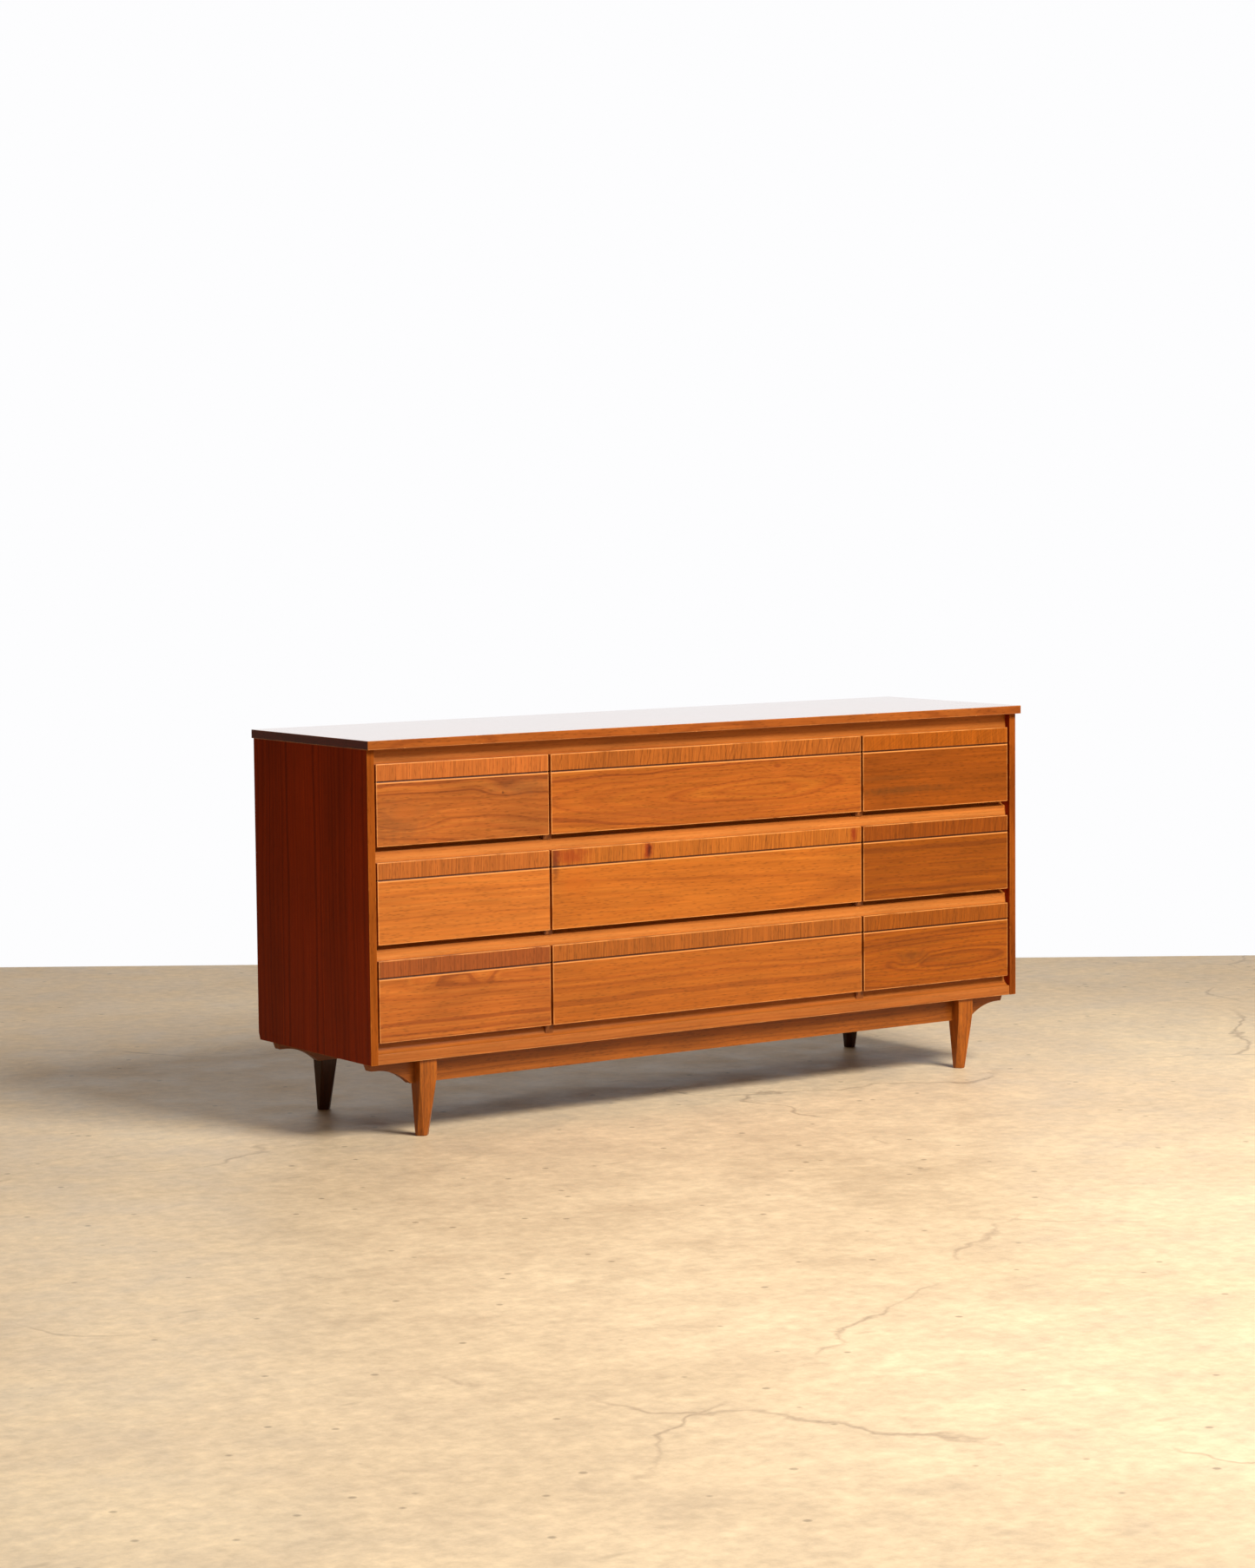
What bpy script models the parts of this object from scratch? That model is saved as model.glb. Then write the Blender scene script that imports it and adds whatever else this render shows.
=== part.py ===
"""A low mid-century dresser with nine drawers, as an assembly of its separate boards.

Units are metres and +Z is up. The origin is on the floor under the middle of the top, and the
drawers face -Y. Each drawer slides out along -Y.

Places inside the case are worked out from three datums: widths from the outside of the left side
panel, depths from the front edge of the side panels, and heights from the floor.
"""

import math

import bmesh
import bpy
from mathutils import Matrix, Vector

# ---------------------------------------------------------------- driving dimensions

TOP_WIDTH = 1.626
TOP_DEPTH = 0.457
HEIGHT = 0.778
TOP_THICKNESS = 0.0175
TOP_SIDE_OVERHANG = 0.005
TOP_FRONT_OVERHANG = 0.013
CASE_BOTTOM = 0.152             # height of the case's underside
SIDE_THICKNESS = 0.016
SIDE_CLIP_HEIGHT = 0.014        # the clipped lower back corner of each side panel
SIDE_CLIP_DEPTH = 0.006
GAP = 0.0003                    # between pieces that touch
EASE = 0.0008                   # the eased arris of an outer board

PARTITION_THICKNESS = 0.019
BACK_THICKNESS = 0.005
BACK_INSET = 0.001              # back panel's face in front of the case's back edges
BACK_RABBET = 0.009             # how far the back panel laps over the side panels
DUST_THICKNESS = 0.005          # dust panel in the case's bottom
DUST_HEIGHT = 0.003             # over the case's underside
DUST_TONGUE = 0.006             # how far it enters the two bottom rails

# Drawer fronts
END_FRONT_WIDTH = 0.394         # left and right columns; the middle one takes what is left
FRONT_HEIGHT = 0.1588
FRONT_SETBACK = 0.0015          # front face behind the side panels' front edges
FRONT_SIDE_GAP = 0.0048         # between an end front and its side panel
FRONT_COLUMN_GAP = 0.0055
TOP_REVEAL = 0.0292             # rail seen between the top and the upper fronts
ROW_REVEAL = 0.0307             # between one row of fronts and the next
LIP_THICKNESS = 0.011
BLOCK_THICKNESS = 0.009         # the part of a front that enters its opening
GROOVE_DROP = 0.034             # V-groove below the front's top edge
GROOVE_WIDTH = 0.003
GROOVE_DEPTH = 0.002

# Rails
RAIL_SETBACK = 0.013
RAIL_CANT = 0.003               # how far a rail's face leans back over its seen height
RAIL_DEPTH = 0.050
RAIL_LAP = 0.008                # rail hidden behind the top edge of the fronts below
SLIT = 0.010                    # finger slit between a front's bottom edge and its rail
RAIL_RISE = 0.004               # rail's flat top over the bottom edge of the fronts above
COVE_RADIUS = 0.014
BOTTOM_RAIL_SETBACK = 0.0015
BOTTOM_FACE_HEIGHT = 0.020
BOTTOM_COVE_RADIUS = 0.018
ARC_STEPS = 8

# Drawer boxes
BLOCK_RISE = 0.0055             # block over the bottom edge of its front
BLOCK_DROP = 0.0100             # block under the top edge of its front
BLOCK_INSET_PANEL = 0.0015      # block in from the front's edge beside a side panel
BLOCK_INSET_PARTITION = 0.0098  # and beside a partition
BOX_SIDE_THICKNESS = 0.012
BOX_TOP_DROP = 0.016            # box sides under the top edge of their front
BOX_BACK_DROP = 0.006           # box back under the box sides
BOX_BACK_THICKNESS = 0.011
BOX_REAR_CLEARANCE = 0.014      # behind a closed drawer
BOTTOM_THICKNESS = 0.0048
BOTTOM_RISE = 0.010             # drawer bottom over the lower edge of the box sides
BOTTOM_TONGUE = 0.005           # drawer bottom's edge inside the box sides
RUNNER_WIDTH = 0.012            # each of the two strips under a drawer bottom
RUNNER_HEIGHT = 0.009
GUIDE_WIDTH = 0.024
GUIDE_HEIGHT = 0.0085
GUIDE_CLEARANCE = 0.0010        # between the guide and each runner
GUIDE_FRONT = 0.034             # depth of the guide's front end

# Base
LEG_WIDTH = 0.039
LEG_DEPTH = 0.036
LEG_SIDE_INSET = 0.1135         # outer side of a leg in from the side of the case
FRONT_LEG_INSET = 0.008         # front face of a front leg in from the front of the case
BACK_LEG_INSET = 0.020          # back face of a back leg in from the back of the case
LEG_KNEE = 0.122                # height where a leg stops being square
FOOT_OUTER_SIDE = 0.0050        # how far the sides of a leg taper in at the floor
FOOT_INNER_SIDE = 0.0085
FOOT_FRONT_FACE = 0.0125        # how far a leg's front and back faces lean back at the floor
FOOT_BACK_FACE = 0.0025
FOOT_FACET = 0.0090             # width of the corner facets at the floor, along each side
APRON_HEIGHT = 0.0475
FRONT_APRON_INSET = 0.0305      # outer face in from the front of the case
FRONT_APRON_THICKNESS = 0.021
BACK_APRON_INSET = 0.0365       # outer face in from the back of the case
BRACKET_END_INSET = 0.0105      # end of an apron in from the side of the case
BRACKET_END_SLANT = 0.006
BRACKET_END_HEIGHT = 0.0160
BRACKET_ARC_START = 0.026       # where the bracket's flat end turns into its arc
BRACKET_ARC_END = 0.105         # where the arc reaches the apron's full height

# ---------------------------------------------------------------- values that follow

CASE_WIDTH = TOP_WIDTH - 2 * TOP_SIDE_OVERHANG
CASE_DEPTH = TOP_DEPTH - TOP_FRONT_OVERHANG
CASE_TOP = HEIGHT - TOP_THICKNESS
LEFT = -CASE_WIDTH / 2          # world X of the left datum
FRONT = -TOP_DEPTH / 2 + TOP_FRONT_OVERHANG     # world Y of the front datum

MIDDLE_FRONT_WIDTH = (CASE_WIDTH - 2 * (SIDE_THICKNESS + FRONT_SIDE_GAP)
                      - 2 * (END_FRONT_WIDTH + FRONT_COLUMN_GAP))
COLUMN_WIDTHS = {"left": END_FRONT_WIDTH, "middle": MIDDLE_FRONT_WIDTH, "right": END_FRONT_WIDTH}
ROW_NAMES = ("upper", "central", "lower")
BACK_FACE = CASE_DEPTH - BACK_INSET - BACK_THICKNESS     # depth of the back panel's inner face
RAIL_BACK = RAIL_SETBACK + RAIL_DEPTH                    # depth of every front rail's back
REAR_RAIL_FRONT = BACK_FACE - GAP - RAIL_DEPTH
BOX_FRONT = FRONT_SETBACK + LIP_THICKNESS + BLOCK_THICKNESS + GAP
BOX_BACK = BACK_FACE - BOX_REAR_CLEARANCE
APRON_BOTTOM = CASE_BOTTOM - APRON_HEIGHT
BACK_APRON_THICKNESS = BACK_LEG_INSET + LEG_DEPTH - BACK_APRON_INSET

# ---------------------------------------------------------------- scene and materials

for old in list(bpy.data.objects):
    bpy.data.objects.remove(old, do_unlink=True)


def new_collection(name):
    collection = bpy.data.collections.new(name)
    bpy.context.scene.collection.children.link(collection)
    return collection


PARTS = new_collection("dresser")
CUTTERS = new_collection("cutters")


def make_material(name, colour, roughness):
    """A Principled finish with one colour (linear RGB) and roughness; none here is a metal."""
    material = bpy.data.materials.new(name)
    material.use_nodes = True
    shader = material.node_tree.nodes["Principled BSDF"]
    shader.inputs["Base Color"].default_value = (*colour, 1.0)
    shader.inputs["Roughness"].default_value = roughness
    shader.inputs["Metallic"].default_value = 0.0
    material.diffuse_color = (*colour, 1.0)
    return material


CASE_WALNUT = make_material("case_walnut", (0.14, 0.035, 0.010), 0.30)
TOP_WALNUT = make_material("top_walnut", (0.18, 0.055, 0.016), 0.15)
FRONT_WALNUT = make_material("front_walnut", (0.42, 0.145, 0.035), 0.35)
RAIL_WALNUT = make_material("rail_walnut", (0.60, 0.25, 0.08), 0.40)
BASE_WALNUT = make_material("base_walnut", (0.30, 0.095, 0.025), 0.35)
DRAWER_OAK = make_material("drawer_oak", (0.62, 0.45, 0.26), 0.55)
GUIDE_BEECH = make_material("guide_beech", (0.55, 0.36, 0.19), 0.60)
BACK_HARDBOARD = make_material("back_hardboard", (0.17, 0.095, 0.05), 0.80)

# ---------------------------------------------------------------- shared shapes


def world(x, depth, z):
    """World position of a point given by the three datums."""
    return Vector((LEFT + x, FRONT + depth, z))


def place(obj, location, material, collection, parent=None):
    """Links an object at a world location, under its drawer's empty if it has one."""
    collection.objects.link(obj)
    obj.location = location
    if parent:
        obj.parent = parent
        obj.location = location - parent.location
    if material:
        obj.data.materials.append(material)
    if collection is CUTTERS:
        obj.hide_render = True
        obj.display_type = "WIRE"
    return obj


def add_block(name, low, high, material=None, collection=PARTS, parent=None):
    """A board or block between two corners given in (x, depth, height)."""
    low, high = world(*low), world(*high)
    mesh = bpy.data.meshes.new(name)
    cube = bmesh.new()
    bmesh.ops.create_cube(cube, size=1.0)
    bmesh.ops.scale(cube, vec=high - low, verts=cube.verts)
    cube.to_mesh(mesh)
    cube.free()
    return place(bpy.data.objects.new(name, mesh), (low + high) / 2, material, collection, parent)


# An outline's own (u, v) is turned to run along one of the dresser's axes.
ALONG_X = Matrix(((0, 0, 1), (1, 0, 0), (0, 1, 0))).to_4x4()    # u depth, v height
ALONG_Y = Matrix.Rotation(math.radians(90), 4, "X")             # u width, v height
ALONG_Z = Matrix.Identity(4)                                    # u width, v depth


def add_prism(name, outline, start, end, turn, material=None, collection=PARTS, parent=None):
    """A flat outline given in the datums' measures, run from start to end along its third axis."""
    curve = bpy.data.curves.new(name, "CURVE")
    curve.dimensions = "2D"
    curve.fill_mode = "BOTH"
    curve.extrude = (end - start) / 2
    spline = curve.splines.new("POLY")
    spline.points.add(len(outline) - 1)
    for point, (u, v) in zip(spline.points, outline):
        point.co = (u, v, 0.0, 1.0)
    spline.use_cyclic_u = True
    flat = bpy.data.objects.new(name + "_outline", curve)
    bpy.context.scene.collection.objects.link(flat)
    solid = bpy.data.meshes.new_from_object(flat.evaluated_get(bpy.context.evaluated_depsgraph_get()))
    bpy.data.objects.remove(flat)
    shape = bmesh.new()
    shape.from_mesh(solid)
    bmesh.ops.remove_doubles(shape, verts=shape.verts, dist=1e-5)
    bmesh.ops.transform(shape, matrix=turn, verts=shape.verts)
    bmesh.ops.recalc_face_normals(shape, faces=shape.faces)
    shape.to_mesh(solid)
    shape.free()
    solid.shade_smooth()
    solid.set_sharp_from_angle(angle=math.radians(30))
    solid.name = name
    middle = (start + end) / 2
    places = {"X": (middle, 0.0, 0.0), "Y": (0.0, middle, 0.0), "Z": (0.0, 0.0, middle)}
    axis = "X" if turn is ALONG_X else "Y" if turn is ALONG_Y else "Z"
    return place(bpy.data.objects.new(name, solid), world(*places[axis]), material, collection, parent)


def ease_edges(obj):
    """Takes the sharp arris off every outer corner of a board."""
    bevel = obj.modifiers.new("eased_edges", "BEVEL")
    bevel.width = EASE
    bevel.segments = 1
    bevel.limit_method = "ANGLE"
    bevel.angle_limit = math.radians(30)


def shape_with(obj, tool, operation="DIFFERENCE"):
    """Cuts a tool's shape out of a piece, or joins the two."""
    boolean = obj.modifiers.new(tool.name, "BOOLEAN")
    boolean.operation = operation
    boolean.solver = "EXACT"
    boolean.object = tool


def arc(centre, radius, start, end, steps=ARC_STEPS):
    """Points on a circle from one angle to another, in degrees."""
    points = []
    for step in range(steps + 1):
        angle = math.radians(start + (end - start) * step / steps)
        points.append((centre[0] + radius * math.cos(angle), centre[1] + radius * math.sin(angle)))
    return points


# ---------------------------------------------------------------- where the rows and columns are


def column_spans():
    """Left and right edge of each column's fronts, as widths from the left datum."""
    spans = {}
    edge = SIDE_THICKNESS + FRONT_SIDE_GAP
    for name, width in COLUMN_WIDTHS.items():
        spans[name] = (edge, edge + width)
        edge += width + FRONT_COLUMN_GAP
    return spans


def row_spans():
    """Bottom and top height of each row's fronts."""
    spans = {}
    top = CASE_TOP - TOP_REVEAL
    for name in ROW_NAMES:
        spans[name] = (top - FRONT_HEIGHT, top)
        top -= FRONT_HEIGHT + ROW_REVEAL
    return spans


COLUMNS = column_spans()
ROWS = row_spans()
PARTITION_MIDDLES = {"left": COLUMNS["left"][1] + FRONT_COLUMN_GAP / 2,
                     "right": COLUMNS["right"][0] - FRONT_COLUMN_GAP / 2}

# ---------------------------------------------------------------- case boards


def add_top():
    top = add_block("top_panel", (-TOP_SIDE_OVERHANG, -TOP_FRONT_OVERHANG, CASE_TOP),
                    (CASE_WIDTH + TOP_SIDE_OVERHANG, CASE_DEPTH, HEIGHT), TOP_WALNUT)
    ease_edges(top)


def add_side(name, outer):
    """A side panel with its clipped lower back corner and the rabbet that holds the back panel."""
    top = CASE_TOP - GAP
    outline = [(0, CASE_BOTTOM), (CASE_DEPTH - SIDE_CLIP_DEPTH, CASE_BOTTOM),
               (CASE_DEPTH, CASE_BOTTOM + SIDE_CLIP_HEIGHT), (CASE_DEPTH, top), (0, top)]
    side = add_prism(name, outline, outer, outer + SIDE_THICKNESS, ALONG_X, CASE_WALNUT)
    ease_edges(side)
    return side


def add_back_and_sides():
    left = add_side("left_side_panel", 0.0)
    right = add_side("right_side_panel", CASE_WIDTH - SIDE_THICKNESS)
    lap = SIDE_THICKNESS - BACK_RABBET
    low = (lap, BACK_FACE, CASE_BOTTOM + SIDE_CLIP_HEIGHT)
    high = (CASE_WIDTH - lap, BACK_FACE + BACK_THICKNESS, CASE_TOP - GAP)
    add_block("back_panel", low, high, BACK_HARDBOARD)
    rabbet = add_block("back_rabbet", (low[0] - GAP, low[1] - GAP, low[2] - GAP),
                       (high[0] + GAP, CASE_DEPTH + SIDE_THICKNESS, CASE_TOP + GAP), None, CUTTERS)
    shape_with(left, rabbet)
    shape_with(right, rabbet)


# ---------------------------------------------------------------- rails


def rail_outline(bottom, face_top, top, setback, cant, radius):
    """A coved rail's section: a leaning face, a cove behind it and a flat top, in (depth, height)."""
    face_back = setback + cant
    outline = [(RAIL_BACK, top), (RAIL_BACK, bottom), (setback, bottom)]
    outline += arc((face_back, face_top + radius), radius, -90, 0)
    outline.append((face_back + radius, top))
    return [point for index, point in enumerate(outline) if point != outline[index - 1]]


def slot_outline(bottom, face_top, top, setback, cant, radius):
    """The room that a coved rail needs in a partition: its section, grown by the gap."""
    face_back = setback + cant
    outline = [(RAIL_BACK + GAP, top + GAP), (RAIL_BACK + GAP, bottom - GAP), (-GAP, bottom - GAP),
               (-GAP, face_top + GAP)]
    outline += arc((face_back, face_top + radius), radius - GAP, -90, 0)
    outline.append((face_back + radius - GAP, top + GAP))
    return outline


def rail_sections():
    """Section measures of the three coved rails, each named for its place."""
    sections = {}
    for name, above, below in (("upper_middle_rail", "upper", "central"),
                               ("lower_middle_rail", "central", "lower")):
        lip = ROWS[above][0]
        sections[name] = (ROWS[below][1] - RAIL_LAP, lip - SLIT, lip + RAIL_RISE,
                          RAIL_SETBACK, RAIL_CANT, COVE_RADIUS)
    lip = ROWS["lower"][0]
    sections["bottom_rail"] = (CASE_BOTTOM, CASE_BOTTOM + BOTTOM_FACE_HEIGHT, lip + RAIL_RISE,
                               BOTTOM_RAIL_SETBACK, 0.0, BOTTOM_COVE_RADIUS)
    return sections


INNER_LEFT = SIDE_THICKNESS + GAP
INNER_RIGHT = CASE_WIDTH - SIDE_THICKNESS - GAP


def add_rails():
    """Front and rear rails. Returns the cutters that notch the partitions around them."""
    notches = []
    lowest = ROWS["upper"][1] - RAIL_LAP
    highest = CASE_TOP - GAP
    face = [(RAIL_SETBACK, lowest), (RAIL_BACK, lowest), (RAIL_BACK, highest),
            (RAIL_SETBACK + RAIL_CANT, highest)]
    add_prism("top_rail", face, INNER_LEFT, INNER_RIGHT, ALONG_X, RAIL_WALNUT)
    add_block("rear_top_rail", (INNER_LEFT, REAR_RAIL_FRONT, lowest),
              (INNER_RIGHT, REAR_RAIL_FRONT + RAIL_DEPTH, highest), GUIDE_BEECH)
    notches.append(add_block("top_rail_notch", (0, -GAP, lowest - GAP),
                             (CASE_WIDTH, RAIL_BACK + GAP, CASE_TOP + GAP), None, CUTTERS))
    notches.append(add_block("rear_top_rail_notch", (0, REAR_RAIL_FRONT - GAP, lowest - GAP),
                             (CASE_WIDTH, CASE_DEPTH, CASE_TOP + GAP), None, CUTTERS))
    for name, section in rail_sections().items():
        rail = add_prism(name, rail_outline(*section), INNER_LEFT, INNER_RIGHT, ALONG_X, RAIL_WALNUT)
        notches.append(add_prism(name + "_notch", slot_outline(*section), 0.0, CASE_WIDTH, ALONG_X,
                                 None, CUTTERS))
        bottom, top = section[0], section[2]
        rear = add_block("rear_" + name, (INNER_LEFT, REAR_RAIL_FRONT, bottom),
                         (INNER_RIGHT, REAR_RAIL_FRONT + RAIL_DEPTH, top), GUIDE_BEECH)
        notches.append(add_block("rear_" + name + "_notch", (0, REAR_RAIL_FRONT - GAP, bottom - GAP),
                                 (CASE_WIDTH, CASE_DEPTH, top + GAP), None, CUTTERS))
        if name == "bottom_rail":
            add_dust_panel((rail, rear))
    return notches


def add_dust_panel(rails):
    """The thin panel that closes the case's bottom, in a groove in each bottom rail."""
    low = (INNER_LEFT, RAIL_BACK - DUST_TONGUE, CASE_BOTTOM + DUST_HEIGHT)
    high = (INNER_RIGHT, REAR_RAIL_FRONT + DUST_TONGUE, CASE_BOTTOM + DUST_HEIGHT + DUST_THICKNESS)
    add_block("dust_panel", low, high, BACK_HARDBOARD)
    groove = add_block("dust_groove", (-GAP, low[1] - GAP, low[2] - GAP),
                       (CASE_WIDTH + GAP, high[1] + GAP, high[2] + GAP), None, CUTTERS)
    for rail in rails:
        shape_with(rail, groove)


def add_partitions(notches):
    """The two uprights between the columns, half-lapped over the rails."""
    low = CASE_BOTTOM + DUST_HEIGHT + DUST_THICKNESS + GAP
    for name, middle in PARTITION_MIDDLES.items():
        board = add_block(name + "_partition",
                          (middle - PARTITION_THICKNESS / 2, RAIL_SETBACK + GAP, low),
                          (middle + PARTITION_THICKNESS / 2, BACK_FACE - GAP, CASE_TOP - GAP), RAIL_WALNUT)
        for notch in notches:
            shape_with(board, notch)


# ---------------------------------------------------------------- base


def apron_outline():
    """A long apron with a hollow-cut bracket past each leg, in (width, height)."""
    top = CASE_BOTTOM - GAP
    end_bottom = CASE_BOTTOM - BRACKET_END_HEIGHT
    reach = BRACKET_ARC_END - BRACKET_ARC_START
    drop = end_bottom - APRON_BOTTOM
    radius = (reach ** 2 + drop ** 2) / (2 * drop)
    sweep = math.degrees(math.asin(reach / radius))
    half = [(BRACKET_END_INSET, top), (BRACKET_END_INSET + BRACKET_END_SLANT, end_bottom)]
    half += arc((BRACKET_ARC_START, end_bottom - radius), radius, 90, 90 - sweep)
    return half + [(CASE_WIDTH - u, v) for u, v in reversed(half)]


def leg_mesh(name, out_x):
    """A leg, square to its knee, whose sides taper and whose front and back faces lean back below.

    Facets on its corners widen from the knee to the floor. out_x is the sign of the leg's outer
    side. The mesh's origin is on the floor under the middle of the square part.
    """
    half_x, half_y = LEG_WIDTH / 2, LEG_DEPTH / 2
    shape = bmesh.new()
    bmesh.ops.create_cube(shape, size=1.0)
    bmesh.ops.translate(shape, vec=(0, 0, 0.5), verts=shape.verts)
    bmesh.ops.scale(shape, vec=(LEG_WIDTH, LEG_DEPTH, CASE_BOTTOM - GAP), verts=shape.verts)
    whole = shape.verts[:] + shape.edges[:] + shape.faces[:]
    bmesh.ops.bisect_plane(shape, geom=whole, plane_co=(0, 0, LEG_KNEE), plane_no=(0, 0, 1))
    foot = {}
    for vert in shape.verts:
        if vert.co.z < GAP:
            sign_x, sign_y = math.copysign(1, vert.co.x), math.copysign(1, vert.co.y)
            vert.co.x -= sign_x * (FOOT_OUTER_SIDE if sign_x == out_x else FOOT_INNER_SIDE)
            vert.co.y += FOOT_FRONT_FACE if sign_y < 0 else FOOT_BACK_FACE
            foot[sign_x, sign_y] = vert.co.copy()
    for (sign_x, sign_y), corner in foot.items():
        knee = Vector((sign_x * half_x, sign_y * half_y, LEG_KNEE))
        along_x = corner - Vector((sign_x * FOOT_FACET, 0, 0))
        along_y = corner - Vector((0, sign_y * FOOT_FACET, 0))
        normal = (along_x - knee).cross(along_y - knee).normalized()
        if normal.dot(corner - knee) < 0:
            normal.negate()
        whole = shape.verts[:] + shape.edges[:] + shape.faces[:]
        cut = bmesh.ops.bisect_plane(shape, geom=whole, plane_co=knee, plane_no=normal, clear_outer=True)
        rim = [item for item in cut["geom_cut"] if isinstance(item, bmesh.types.BMEdge)]
        bmesh.ops.edgenet_fill(shape, edges=rim)
    bmesh.ops.remove_doubles(shape, verts=shape.verts, dist=1e-5)
    bmesh.ops.recalc_face_normals(shape, faces=shape.faces)
    mesh = bpy.data.meshes.new(name)
    shape.to_mesh(mesh)
    shape.free()
    return mesh


def add_base():
    """Front and back aprons, and the four legs lapped over them."""
    outline = apron_outline()
    back_near = CASE_DEPTH - BACK_APRON_INSET - BACK_APRON_THICKNESS
    leg_x = LEG_SIDE_INSET + LEG_WIDTH / 2
    for face, near, thickness, leg_y in (
            ("front", FRONT_APRON_INSET, FRONT_APRON_THICKNESS, FRONT_LEG_INSET + LEG_DEPTH / 2),
            ("back", back_near, BACK_APRON_THICKNESS, CASE_DEPTH - BACK_LEG_INSET - LEG_DEPTH / 2)):
        add_prism(face + "_apron", outline, near, near + thickness, ALONG_Y, BASE_WALNUT)
        lap = add_block(face + "_leg_lap", (0, near - GAP, APRON_BOTTOM - GAP),
                        (CASE_WIDTH, near + thickness + GAP, CASE_BOTTOM + GAP), None, CUTTERS)
        for side, out_x, width in (("left", -1, leg_x), ("right", 1, CASE_WIDTH - leg_x)):
            name = f"{face}_{side}_leg"
            leg = bpy.data.objects.new(name, leg_mesh(name, out_x))
            place(leg, world(width, leg_y, 0.0), BASE_WALNUT, PARTS)
            shape_with(leg, lap)


# ---------------------------------------------------------------- drawers


def block_span(column):
    """Left and right side of the part of a drawer that enters the case."""
    low, high = COLUMNS[column]
    left_inset = BLOCK_INSET_PANEL if column == "left" else BLOCK_INSET_PARTITION
    right_inset = BLOCK_INSET_PANEL if column == "right" else BLOCK_INSET_PARTITION
    return low + left_inset, high - right_inset


def add_front(name, column, row, empty):
    """A lipped drawer front: a plate with a V-groove along it, and the block behind."""
    left, right = COLUMNS[column]
    bottom, top = ROWS[row]
    face, back = FRONT_SETBACK, FRONT_SETBACK + LIP_THICKNESS
    groove = top - GROOVE_DROP
    outline = [(back, bottom), (back, top), (face, top), (face, groove + GROOVE_WIDTH / 2),
               (face + GROOVE_DEPTH, groove), (face, groove - GROOVE_WIDTH / 2), (face, bottom)]
    front = add_prism(name + "_front", outline, left, right, ALONG_X, FRONT_WALNUT, PARTS, empty)
    block_left, block_right = block_span(column)
    block = add_block(name + "_front_block", (block_left, back - LIP_THICKNESS / 4, bottom + BLOCK_RISE),
                      (block_right, back + BLOCK_THICKNESS, top - BLOCK_DROP), None, CUTTERS, empty)
    shape_with(front, block, "UNION")


def add_box(name, column, row, empty):
    """A drawer's two sides and back in one piece, grooved for its bottom."""
    left, right = block_span(column)
    wall = BOX_SIDE_THICKNESS
    low = ROWS[row][0] + BLOCK_RISE
    high = ROWS[row][1] - BOX_TOP_DROP
    inner_back = BOX_BACK - BOX_BACK_THICKNESS
    plan = [(left, BOX_FRONT), (left + wall, BOX_FRONT), (left + wall, inner_back),
            (right - wall, inner_back), (right - wall, BOX_FRONT), (right, BOX_FRONT),
            (right, BOX_BACK), (left, BOX_BACK)]
    box = add_prism(name + "_box", plan, low, high, ALONG_Z, DRAWER_OAK, PARTS, empty)
    tongue = left + wall - BOTTOM_TONGUE
    under = low + BOTTOM_RISE
    add_bottom(name, (tongue, right - wall + BOTTOM_TONGUE), under, empty)
    groove = add_block(name + "_bottom_groove", (tongue - GAP, BOX_FRONT - GAP, under - GAP),
                       (right - wall + BOTTOM_TONGUE + GAP, BOX_BACK + GAP,
                        under + BOTTOM_THICKNESS + GAP), None, CUTTERS, empty)
    passage = add_block(name + "_guide_passage", (left + wall, inner_back - GAP, low - GAP),
                        (right - wall, BOX_BACK + GAP, under + GAP), None, CUTTERS, empty)
    back_top = add_block(name + "_back_drop", (left + wall, inner_back - GAP, high - BOX_BACK_DROP),
                         (right - wall, BOX_BACK + GAP, high + GAP), None, CUTTERS, empty)
    for tool in (groove, passage, back_top):
        shape_with(box, tool)


def add_bottom(name, span, under, empty):
    """A thin drawer bottom with the two runner strips glued under it, in (width, height)."""
    middle = sum(span) / 2
    inner = GUIDE_WIDTH / 2 + GUIDE_CLEARANCE
    outer = inner + RUNNER_WIDTH
    low = under - RUNNER_HEIGHT
    top = under + BOTTOM_THICKNESS
    outline = [(span[0], under), (middle - outer, under), (middle - outer, low),
               (middle - inner, low), (middle - inner, under), (middle + inner, under),
               (middle + inner, low), (middle + outer, low), (middle + outer, under),
               (span[1], under), (span[1], top), (span[0], top)]
    add_prism(name + "_bottom", outline, BOX_FRONT, BOX_BACK, ALONG_Y, DRAWER_OAK, PARTS, empty)


def add_guide(name, column, row):
    """The fixed strip on the rails that a drawer's runners straddle."""
    middle = sum(block_span(column)) / 2
    low = ROWS[row][0] + RAIL_RISE + GAP
    add_block(name + "_guide", (middle - GUIDE_WIDTH / 2, GUIDE_FRONT, low),
              (middle + GUIDE_WIDTH / 2, BACK_FACE - GAP, low + GUIDE_HEIGHT), GUIDE_BEECH)


def add_drawer(column, row):
    """One drawer under an empty on its sliding axis, at the middle of its front face."""
    name = f"{row}_{column}_drawer"
    empty = bpy.data.objects.new(name, None)
    PARTS.objects.link(empty)
    empty.empty_display_size = LEG_WIDTH
    empty.location = world(sum(COLUMNS[column]) / 2, FRONT_SETBACK, sum(ROWS[row]) / 2)
    add_front(name, column, row, empty)
    add_box(name, column, row, empty)
    add_guide(name, column, row)


# ---------------------------------------------------------------- assembly

add_top()
add_back_and_sides()
add_partitions(add_rails())
add_base()
for row_name in ROW_NAMES:
    for column_name in COLUMNS:
        add_drawer(column_name, row_name)
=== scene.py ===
# %% [markdown]
# # A low walnut dresser with nine drawers
#
# This lesson dresses a finished CAD model of a dresser in its real surfaces: walnut veneer under
# lacquer, oak drawer boxes, beech guides and a hardboard back. The CAD model is loaded first and is
# never moved. Each piece that needs softer edges or finer curves is made again with numpy, in the
# same place, and takes over from its CAD node.

# %% Load the frame
import math

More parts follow.
